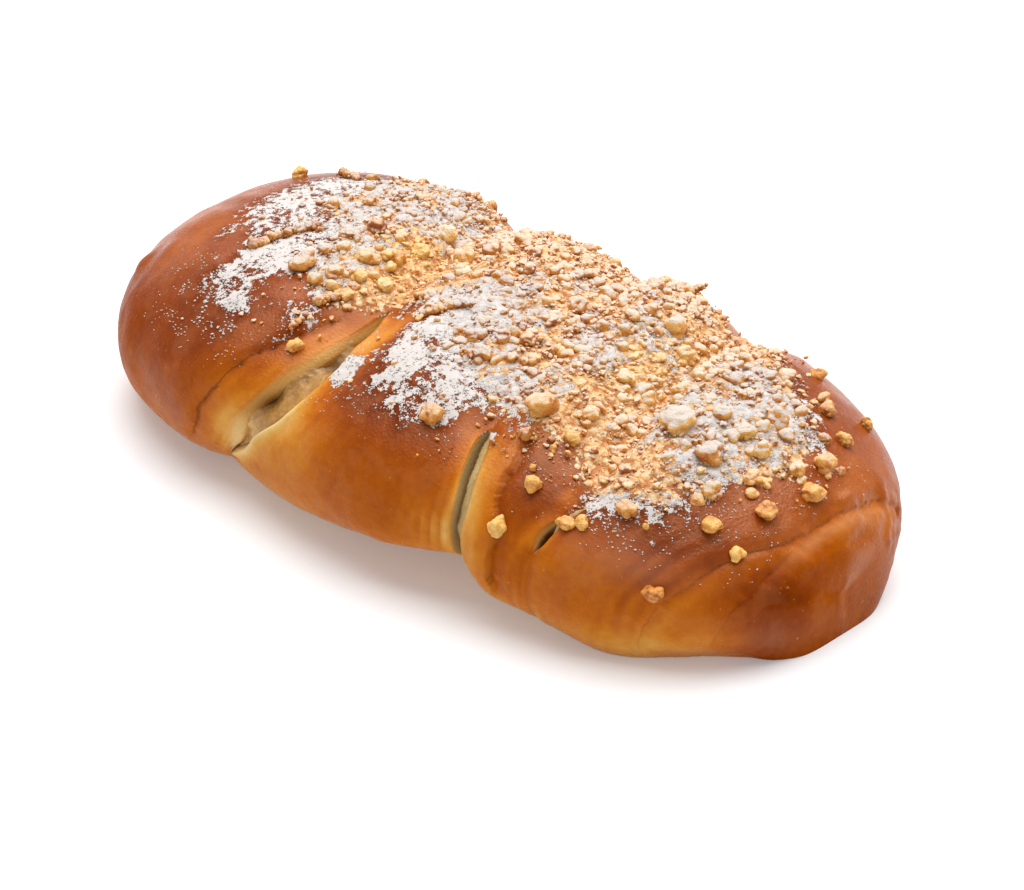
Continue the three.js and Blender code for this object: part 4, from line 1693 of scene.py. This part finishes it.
@dataclass
class SugarDust:
    """Powdered sugar, in dense patches with ragged edges and a fringe of specks.

    Fields named for lumps give spacing and height. Clumps are tried all over the zone: they stay where the
    powder is denser than clump_density, and specks stay in groups on the fringes.
    """

    finish: SugarFinish
    patches: Patches = ovals(
        (-80, 98, 16, 14, 0.64), (-80, 80, 13, 10, 0.54), (-66, 66, 14, 12, 0.54),
        (-58, 84, 18, 14, 0.44), (-62, 112, 24, 14, 0.54), (-52, 130, 24, 18, 0.45),
        (-66, 46, 12, 9, 0.36), (-62, 54, 10, 7, 0.55), (-37, 56, 4, 14, 0.6), (-42, 78, 8, 10, 0.4),
        (4, 68, 13, 10, 0.9), (12, 56, 13, 8, 0.75), (-13, 50, 4, 5, 0.95), (24, 48, 4, 5, 0.6),
        (10, 44, 18, 6, 0.36), (-14, 34, 4, 7, 0.4), (39, 66, 8, 8, 0.7), (46, 53, 5, 5, 0.5),
        (-2, 86, 16, 9, 0.55), (18, 108, 36, 30, 0.45), (46, 92, 18, 22, 0.3), (80, 88, 9, 9, 0.85),
        (90, 75, 9, 8, 0.75), (98, 62, 6, 10, 0.5), (86, 110, 20, 16, 0.55), (78, 40, 6, 7, 0.4),
        (86, 47, 11, 5, 0.5), (94, 40, 14, 10, 0.3), (104, 92, 10, 16, 0.32), (64, 60, 10, 10, 0.12),
    )
    fringes: Patches = ovals(
        (-70, 36, 13, 8, 1.0), (-54, 42, 6, 9, 0.9), (-64, 47, 12, 9, 0.8), (-84, 52, 7, 12, 0.5),
        (-16, 36, 5, 9, 0.7), (12, 41, 17, 6, 1.0), (60, 55, 9, 12, 0.9), (90, 32, 13, 9, 1.0),
        (103, 60, 8, 14, 0.7), (113, 92, 6, 16, 0.5), (117, 50, 7, 34, 0.22),
    )
    # Even white film: finest dust, and a painted sheen on the right end's ridge
    dust_and_sheen_patches: Patches = ovals((96, 22, 12, 10, 0.07), (124.4, 92, 0.9, 36, 0.08), (125, -16, 5, 12, 0.06))
    # How ragged and how high the powder lies
    ragged_size: float = 6.0
    ragged_angle: float = 3.0
    ragged_density: float = 0.5
    drift_lumps: Pairs = ((9, 2.5),)
    drift_shift: float = 5.0
    thickest: float = 0.8
    fullest: float = 0.95
    height: float = 0.25
    uneven_height: float = 0.3
    uneven_size: float = 2.2
    uneven_layers: int = 2
    # Where clumps and specks are strewn
    zone_x: Span = (-105, 122)
    zone_angle: Span = (20, 140)
    tries: int = 160000
    clump_density: float = 0.4
    clump_chance: float = 0.9
    group_size: float = 4.5
    group_shift: float = 40.0
    group_share: float = 0.25
    speck_chance: float = 0.5
    speck_size: float = 0.6
    slit_margin: float = 0.8
    lumps: int = 6600
    largest: float = 0.6
    smallest: float = 0.24
    rise: Span = (0.1, 0.9)
    shape: LumpShape = LumpShape(
        level=0, knobs=3, core=0.7, knob_radius=(0.5, 0.8), flatness=0.7, stretch=(0.6, 1.4), smooth=False
    )
    seed: int = 5150
    noise: LatticeNoise = field(default_factory=lambda: LatticeNoise(77))

    def density(self, x: Array, angle: Array) -> Array:
        """Tells how thick the powder lies.

        Args:
            x: Places along the loaf.
            angle: Places round it.

        Returns:
            0 where there is none to 1 where it lies thick.
        """
        flat = np.stack(np.broadcast_arrays(x, angle, 0 * x), -1)
        ragged = self.noise.layered(flat, self.ragged_size)
        drift = self.noise.mixed(flat + self.drift_shift, self.drift_lumps)
        smooth = patch_sum(self.patches, x + drift, angle + self.ragged_angle * ragged)
        uneven = 1 + self.ragged_density * ragged
        return np.clip(np.minimum(smooth, self.thickest) * uneven, 0, self.fullest)

    def dust_and_sheen(self, x: Array, angle: Array) -> Array:
        """Tells how thick the white film of fine dust and painted sheen lies, from 0 to 1 where it hides the
        crust.
        """
        return patch_sum(self.dust_and_sheen_patches, x, angle)

    def relief(self, points: Array, density: Array) -> Array:
        """Gives the height of the powder at points of the dough, by how thick it lies there."""
        uneven = self.noise.layered(points, self.uneven_size, self.uneven_layers)
        return density * (self.height + self.uneven_height * uneven)

    def build(self, loaf: DoughLoaf) -> None:
        """Builds and dresses the clumps of powder.

        Args:
            loaf: What they lie on.
        """
        draw = np.random.default_rng(self.seed)
        x = draw.uniform(*self.zone_x, self.tries)
        angle = draw.uniform(*self.zone_angle, self.tries)
        density = self.density(x, angle)
        fringe = patch_sum(self.fringes, x, angle)
        chance = np.where(density > self.clump_density, self.clump_chance * density**2, 0)
        groups = self.noise.at(np.stack([x, angle, 0 * x], -1) + self.group_shift, self.group_size)
        grouped = np.maximum(groups + self.group_share, 0)
        specks = draw.uniform(0, 1, self.tries) < self.speck_chance * grouped * fringe
        kept = (draw.uniform(0, 1, self.tries) < chance) | specks
        for fold in loaf.folds:
            kept &= fold.clear(x, angle, self.slit_margin)
        chosen = np.flatnonzero(kept)[: self.lumps]
        count = len(chosen)
        heaped = np.maximum(density, self.speck_size * fringe)[chosen]
        size = draw.uniform(0, 1, count) ** 2
        lumps = Lumps(
            x=x[chosen],
            angle=angle[chosen],
            radius=self.smallest + (self.largest - self.smallest) * size * heaped,
            rise=draw.uniform(*self.rise, count),
            toast=np.zeros(count),
            sugar=np.ones(count),
            strewn=np.ones(count),
        )
        points, faces, _ = self.shape.mesh(loaf, lumps, draw)
        mesh_data = (points, faces, {})
        make_piece("sugar_clumps", Node.DOUGH, mesh_data, self.finish.material(), self.shape.smooth)


@dataclass(frozen=True)
class Finger:
    """Crumbs that hang together: where the row starts and ends, their radius, and how far its end sticks up.

    point is the share of the radius that is lost at the end.
    """

    x: float
    angle: float
    last_x: float
    last_angle: float
    radius: float
    lift: float = 0.0
    point: float = 0.15


@dataclass(frozen=True)
class CrumbKind:
    """A kind of scattered crumb: how many there are, their radius, their rise and their shape."""

    count: int
    radii: Span
    rise: Span
    shape: LumpShape


@dataclass
class ButterCrumble:
    """Butter crumble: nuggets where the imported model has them, and finer crumbs between them.

    shown lists the nuggets that are placed one by one, with place along the loaf, angle and radius. A nugget
    of the seeded rule is outlying, and smaller, where the bed is thinner than outlying_cover.
    """

    finish: CrumbFinish
    # The seeded rule of the nuggets
    nugget_count: int = 145
    tries: int = 6000
    largest: float = 3.4
    smallest: float = 1.8
    spacing: float = 1.2
    rise: float = 0.35
    roughness: float = 0.2
    slit_margin: float = 2.0
    left: float = -92.0
    right: float = 116.0
    front: float = 40.0
    back: float = 140.0
    end_reach: float = 40.0
    end_inset: float = 22.0
    seed: int = 20417
    draw_factor: int = 1664525
    draw_step: int = 1013904223
    draw_range: int = 2**32
    shown: tuple[tuple[float, float, float], ...] = (
        (-105.5, 110, 2.6), (-65.5, 100, 2.2), (-53, 86, 2.4), (-52.5, 77.5, 2.6), (-52.5, 70, 4.2),
        (-49, 91, 3), (-48.5, 81, 2.4), (-41, 72, 2.4), (-40.5, 107, 3.2), (-39.5, 81.5, 3),
        (-36, 94, 2.6), (-36, 88, 3), (-35, 75.5, 2.6), (-32.5, 69, 2), (-32.5, 46.5, 2.2),
        (-29.5, 79, 2.4), (-23, 99, 3.2), (-20, 105, 3), (-17, 114.5, 3), (11.5, 89, 2.8),
        (12.5, 73.5, 2.4), (18.5, 84.5, 2.2), (19.5, 78, 2.8), (19.5, 112, 3), (20.5, 99.5, 3),
        (20.5, 69.5, 3.2), (24.5, 82.5, 2.6), (25, 45, 3.8), (45.5, 112.5, 3.6), (50, 64, 4.4),
        (52.5, 139.5, 3), (54, 107.5, 3.4), (59.5, 71, 2.4), (60, 16, 2.7), (62, 60.5, 2.6),
        (63.5, 39, 2.4), (67.5, 100, 2.4), (68, 93, 2.6), (75, 102, 2), (77.5, 29.5, 2.5), (81, 80, 5),
        (82, 32, 2.2), (86, 89.5, 2.6), (90, 43.5, 3), (93.5, 90, 3.2), (94, 76, 3.6), (95.5, 100.5, 3.2),
        (101, 89, 2.8), (102, 65.5, 2.7), (105, 9.5, 2.5), (106, 78.5, 2.6), (108, 52.5, 3),
        (109.5, 92.5, 2.7), (112, 103.5, 3.2), (114, 71, 2.6), (116, 91, 3), (116.5, 45, 2.1),
    )
    shown_swell: float = 1.1
    outlying_cover: Span = (0.3, 0.75)
    outlying_shrink: float = 0.62
    outlying_sugar: float = 0.6
    # Crumbs that hang together
    fingers: tuple[Finger, ...] = (
        Finger(-8, 75, 1.5, 83.5, 2.0),
        Finger(-74, 69, -65, 84.5, 2.1),
        Finger(-92, 114, -84, 112, 2.0),
        Finger(-106.5, 111, -104.5, 109, 2.3),
        Finger(40, 126, 45, 129, 1.8),
        Finger(28, 140, 32, 140, 2.3, lift=4.6, point=0.65),
        Finger(-37, 50.5, -36, 56, 1.6),
        Finger(-36.5, 62, -33, 69, 1.9),
        Finger(97, 121.5, 98.5, 122.5, 2.2),
        Finger(107, 119, 108, 120, 2.2),
        Finger(104.5, 110.5, 106, 111.5, 2.0),
        Finger(102, 142, 103, 143, 1.8),
    )
    finger_spacing: float = 1.1
    finger_least: int = 4
    finger_swell: Span = (0.78, 1.1)
    finger_stray: Span = (-0.3, 0.3)
    finger_rise: Span = (0.4, 0.6)
    finger_toast: float = 0.1
    # The bed of crumble
    pale: Patches = ovals(
        (-37, 92, 12, 24, 0.3), (54, 103, 10, 18, 0.45), (64, 62, 8, 12, 0.05), (104, 66, 18, 34, 0.2),
    )
    bare: Patches = ovals((-36, 88, 9, 15, 0.7), (54, 104, 9, 12, 0.6), (44, 78, 14, 10, 0.3))
    bed: Patches = ovals(
        (-66, 102, 24, 26, 0.55), (-36, 96, 13, 30, 1.0), (-48, 128, 22, 22, 0.7), (0, 106, 20, 28, 0.9),
        (30, 98, 20, 36, 1.0), (54, 96, 14, 29, 1.0), (78, 88, 14, 32, 0.9), (98, 86, 14, 26, 0.5),
        (109, 98, 10, 20, 0.22), (87, 53, 12, 7, 0.45), (12, 126, 30, 12, 0.7), (52, 122, 14, 12, 0.6),
    )
    bed_height: float = 0.3
    bed_lumps: Pairs = ((3.2, 0.9), (1.7, 0.5))
    # Strewn crumbs, their toast and their powder
    zone_x: Span = (-104, 122)
    zone_angle: Span = (25, 150)
    tries_each: int = 40
    cover_power: float = 2.4
    toast: Span = (0.52, 0.14)
    strewn_powder: float = 0.7
    bed_powder: float = 0.75
    uneven_powder: Span = (0.6, 1.2)
    nugget_shape: LumpShape = LumpShape(
        level=3, knobs=12, core=0.7, knob_radius=(0.4, 0.62), flatness=0.85, stretch=(0.85, 1.2), rough=0.2
    )
    finger_shape: LumpShape = LumpShape(
        level=2, knobs=8, core=0.72, knob_radius=(0.35, 0.6), flatness=0.9, rough=0.15
    )
    clods: CrumbKind = CrumbKind(
        count=600, radii=(1.3, 2.7), rise=(-0.2, 0.6), shape=LumpShape(
            level=2, knobs=8, core=0.66, knob_radius=(0.38, 0.62), flatness=0.82, stretch=(0.75, 1.3),
            rough=0.17,
        ),
    )
    crumbs: CrumbKind = CrumbKind(
        count=2440, radii=(0.6, 1.4), rise=(0.0, 1.2), shape=LumpShape(
            level=1, knobs=5, core=0.52, knob_radius=(0.32, 0.6), flatness=0.8, stretch=(0.65, 1.3),
            smooth=False,
        ),
    )
    grains: CrumbKind = CrumbKind(
        count=5000, radii=(0.3, 0.75), rise=(0.2, 2.0), shape=LumpShape(
            level=0, knobs=3, core=0.7, knob_radius=(0.5, 0.7), flatness=0.8, stretch=(0.6, 1.3),
            smooth=False,
        ),
    )
    scatter_seed: int = 1234
    noise: LatticeNoise = field(default_factory=lambda: LatticeNoise(640))

    def fits(self, loaf: DoughLoaf, x: float, angle: float, radius: float) -> bool:
        """Tells whether a nugget fits: in the zone, which narrows at its ends, and clear of every slit.

        Args:
            loaf: What it lies on.
            x: Its place along the loaf.
            angle: Its place round it.
            radius: Its radius.

        Returns:
            Whether it fits.
        """
        from_end = min(x - self.left, self.right - x) / self.end_reach
        inset = self.end_inset * (1 - min(max(from_end, 0), 1))
        if angle < self.front + inset or angle > self.back - inset:
            return False
        for fold in loaf.folds:
            clear = along(fold.slit, angle) + radius * (1 + self.roughness) + self.slit_margin
            if fold.openness(angle) > 0 and abs(x - along(fold.run, angle)) <= clear:
                return False
        return True

    def nuggets(self, loaf: DoughLoaf) -> list[tuple[float, float, float]]:
        """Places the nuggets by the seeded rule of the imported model.

        Args:
            loaf: What they lie on.

        Returns:
            Place along the loaf, angle and radius of each.
        """
        state = self.seed

        def draw() -> float:
            """Draws the next number.

            Returns:
                A number from 0 to 1.
            """
            nonlocal state
            state = (state * self.draw_factor + self.draw_step) % self.draw_range
            return state / self.draw_range

        placed = list(self.shown)
        middles = [self.place(loaf, x, angle) for x, angle, _ in placed]
        for _ in range(self.tries):
            if len(placed) >= self.nugget_count:
                break
            x = self.left + (self.right - self.left) * draw()
            angle = self.front + (self.back - self.front) * draw()
            done = math.sqrt(len(placed) / self.nugget_count)
            radius = self.largest + (self.smallest - self.largest) * done
            if not self.fits(loaf, x, angle, radius):
                continue
            middle = self.place(loaf, x, angle)
            gaps = np.linalg.norm(np.array(middles) - middle, axis=1)
            if np.all(gaps > self.spacing * (np.array([r for _, _, r in placed]) + radius)):
                placed.append((x, angle, radius))
                middles.append(middle)
        return placed

    def cover(self, x: Array, angle: Array) -> Array:
        """Tells how thick the bed of crumble lies, from 0 to 1 where it covers the dough."""
        return np.clip(patch_sum(self.bed, x, angle), 0, 1)

    def relief(self, points: Array, cover: Array) -> Array:
        """Gives the height of the crumbs baked into the dough, by how thick they lie at its points."""
        return cover * (self.bed_height + self.noise.mixed(points, self.bed_lumps))

    def place(self, loaf: DoughLoaf, x: float, angle: float) -> Array:
        """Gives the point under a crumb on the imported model's dough."""
        depth = loaf.depth(np.array(x), np.array(angle))
        return loaf.form.point(np.array(x), np.array(angle)) - loaf.form.normal(x, angle) * depth

    def strew(self, kind: CrumbKind, loaf: DoughLoaf, sugar: SugarDust, draw: Draw) -> Lumps:
        """Scatters crumbs of one kind over the bed of crumble.

        Args:
            kind: The kind.
            loaf: What they lie on.
            sugar: The powder that lies on them.
            draw: The seeded source.

        Returns:
            The crumbs.
        """
        tries = self.tries_each * kind.count
        x = draw.uniform(*self.zone_x, tries)
        angle = draw.uniform(*self.zone_angle, tries)
        kept = draw.uniform(0, 1, tries) < self.cover(x, angle) ** self.cover_power
        smallest, largest = kind.radii
        for fold in loaf.folds:
            kept &= fold.clear(x, angle, largest)
        chosen = np.flatnonzero(kept)[: kind.count]
        radius = smallest + (largest - smallest) * draw.uniform(0, 1, len(chosen)) ** 2
        return self.lumps((x[chosen], angle[chosen], radius), kind.rise, sugar, draw)

    def finger_lumps(self, sugar: SugarDust, draw: Draw) -> Lumps:
        """Strings crumbs together to the long ones.

        Args:
            sugar: The powder that lies on them.
            draw: The seeded source.

        Returns:
            The crumbs.
        """
        places = []
        for finger in self.fingers:
            start = np.array([finger.x, finger.angle])
            way = np.array([finger.last_x, finger.last_angle]) - start
            length = math.hypot(*way, finger.lift)
            for t in np.linspace(0, 1, max(round(length / self.finger_spacing), self.finger_least)):
                radius = finger.radius * draw.uniform(*self.finger_swell) * (1 - finger.point * t)
                x, angle = start + way * t + draw.uniform(*self.finger_stray, 2)
                places.append((x, angle, radius, finger.lift * t / radius))
        x, angle, radius, lift = np.array(places).T
        lumps = self.lumps((x, angle, radius), self.finger_rise, sugar, draw)
        lumps.rise += lift
        lumps.toast += self.finger_toast
        return lumps

    def lumps(self, places: tuple[Array, Array, Array], rise: Span, sugar: SugarDust, draw: Draw) -> Lumps:
        """Gives crumbs their toast and powder.

        Args:
            places: Place along the loaf, angle and radius of each.
            rise: Least and greatest height of a crumb's middle over the dough, as a share of its radius.
            sugar: The powder that lies on them.
            draw: The seeded source.

        Returns:
            The crumbs.
        """
        x, angle, radius = places
        toast = draw.normal(*self.toast, len(x)) - patch_sum(self.pale, x, angle)
        strewn = sugar.density(x, angle)
        powder = self.strewn_powder * strewn + self.bed_powder * self.cover(x, angle)
        powder *= draw.uniform(*self.uneven_powder, len(x)) * (1 - patch_sum(self.bare, x, angle))
        return Lumps(x, angle, radius, draw.uniform(*rise, len(x)), toast, powder, strewn)

    def build(self, loaf: DoughLoaf, sugar: SugarDust) -> None:
        """Builds and dresses the crumble.

        Args:
            loaf: What it lies on.
            sugar: The powder that lies on it.
        """
        draw = np.random.default_rng(self.scatter_seed)
        material = self.finish.material()
        places = np.array(self.nuggets(loaf))
        shown, others = places[: len(self.shown)], places[len(self.shown) :]
        outlying = smooth_fall(self.cover(*others[:, :2].T), *self.outlying_cover)
        shown[:, 2] *= self.shown_swell
        others[:, 2] *= 1 - self.outlying_shrink * outlying
        rise = (self.rise, self.rise)
        nuggets = self.lumps(tuple(shown.T), rise, sugar, draw)
        lumps = self.lumps(tuple(others.T), rise, sugar, draw)
        lumps.sugar += self.outlying_sugar * outlying
        kinds = (self.clods, self.crumbs, self.grains)
        clods, crumbs, grains = (self.strew(kind, loaf, sugar, draw) for kind in kinds)
        fingers = self.finger_lumps(sugar, draw)
        batches = {
            "crumble_nuggets": (self.nugget_shape, nuggets),
            "crumble_lumps": (self.clods.shape, lumps),
            "crumble_clods": (self.clods.shape, clods),
            "crumble_fingers": (self.finger_shape, fingers),
            "crumble_crumbs": (self.crumbs.shape, crumbs),
            "crumble_grains": (self.grains.shape, grains),
        }
        for name, (shape, batch) in batches.items():
            make_piece(name, Node.DOUGH, shape.mesh(loaf, batch, draw), material, shape.smooth)


@dataclass
class Studio:
    """The pale floor, the soft light and the camera.

    Places and sizes are in metres, and lens and sensor in millimetres.
    """

    floor: FloorFinish
    floor_half: float = 2.5
    azimuth: float = 43.86
    elevation: float = 31.0
    distance: float = 1.2
    lens: float = 144.54
    sensor: float = 36.0
    middle: Place = (0.0, 0.00504, 0.028)
    shift_right: float = 0.00207
    shift_up: float = -0.01752
    world_strength: float = 0.5
    box_place: Place = (-0.2, 0.4, 1.6)
    box_side: float = 2.2
    box_watts: float = 56.0

    def build_floor(self) -> None:
        """Lays the floor."""
        half = self.floor_half
        mesh = bpy.data.meshes.new("floor")
        corners = [(-half, -half, 0), (half, -half, 0), (half, half, 0), (-half, half, 0)]
        mesh.from_pydata(corners, [], [(0, 1, 2, 3)])
        mesh.materials.append(self.floor.material())
        floor = bpy.data.objects.new("floor", mesh)
        bpy.context.scene.collection.objects.link(floor)

    def build_light(self) -> None:
        """Sets the light all round and hangs the soft box that faces the loaf."""
        world = bpy.data.worlds.new("white_room")
        world.use_nodes = True
        backdrop = world.node_tree.nodes["Background"]
        backdrop.inputs["Color"].default_value = WHITE
        backdrop.inputs["Strength"].default_value = self.world_strength
        bpy.context.scene.world = world
        light = bpy.data.lights.new("overhead_box", "AREA")
        light.shape = "SQUARE"
        light.size = self.box_side
        light.energy = self.box_watts
        box = bpy.data.objects.new("overhead_box", light)
        box.location = self.box_place
        aim = Vector(self.middle) - Vector(self.box_place)
        box.rotation_mode = "QUATERNION"
        box.rotation_quaternion = aim.to_track_quat("-Z", "Y")
        bpy.context.scene.collection.objects.link(box)

    def build_camera(self) -> None:
        """Sets up the camera."""
        azimuth, elevation = math.radians(self.azimuth), math.radians(self.elevation)
        right = Vector((math.cos(azimuth), math.sin(azimuth), 0))
        away = Vector((-math.sin(azimuth), math.cos(azimuth), 0))
        up = away * math.sin(elevation) + Vector((0, 0, math.cos(elevation)))
        ahead = away * math.cos(elevation) - Vector((0, 0, math.sin(elevation)))
        aim = Vector(self.middle) + right * self.shift_right + up * self.shift_up
        data = bpy.data.cameras.new("camera")
        data.lens = self.lens
        data.sensor_width = self.sensor
        camera = bpy.data.objects.new("camera", data)
        turn = Matrix((right, up, -ahead)).transposed().to_4x4()
        camera.matrix_world = Matrix.Translation(aim - ahead * self.distance) @ turn
        bpy.context.scene.collection.objects.link(camera)
        bpy.context.scene.camera = camera

    def build(self) -> None:
        """Sets up the studio."""
        self.build_floor()
        self.build_light()
        self.build_camera()
        bpy.context.scene.view_settings.view_transform = "Standard"
        LOG.info("studio: floor, soft box and camera")


def main() -> None:
    """Builds the strudel and its studio."""
    logging.basicConfig(level=logging.INFO, format="%(message)s")
    powder = SugarFinish()
    sugar = SugarDust(powder)
    crumble = ButterCrumble(CrumbFinish(powder))
    loaf = DoughLoaf(CrustFinish(powder))
    loaf.build(sugar, crumble)
    QuarkFilling(QuarkFinish()).build(loaf)
    crumble.build(loaf, sugar)
    sugar.build(loaf)
    Studio(FloorFinish()).build()


if __name__ == "__main__":
    main()
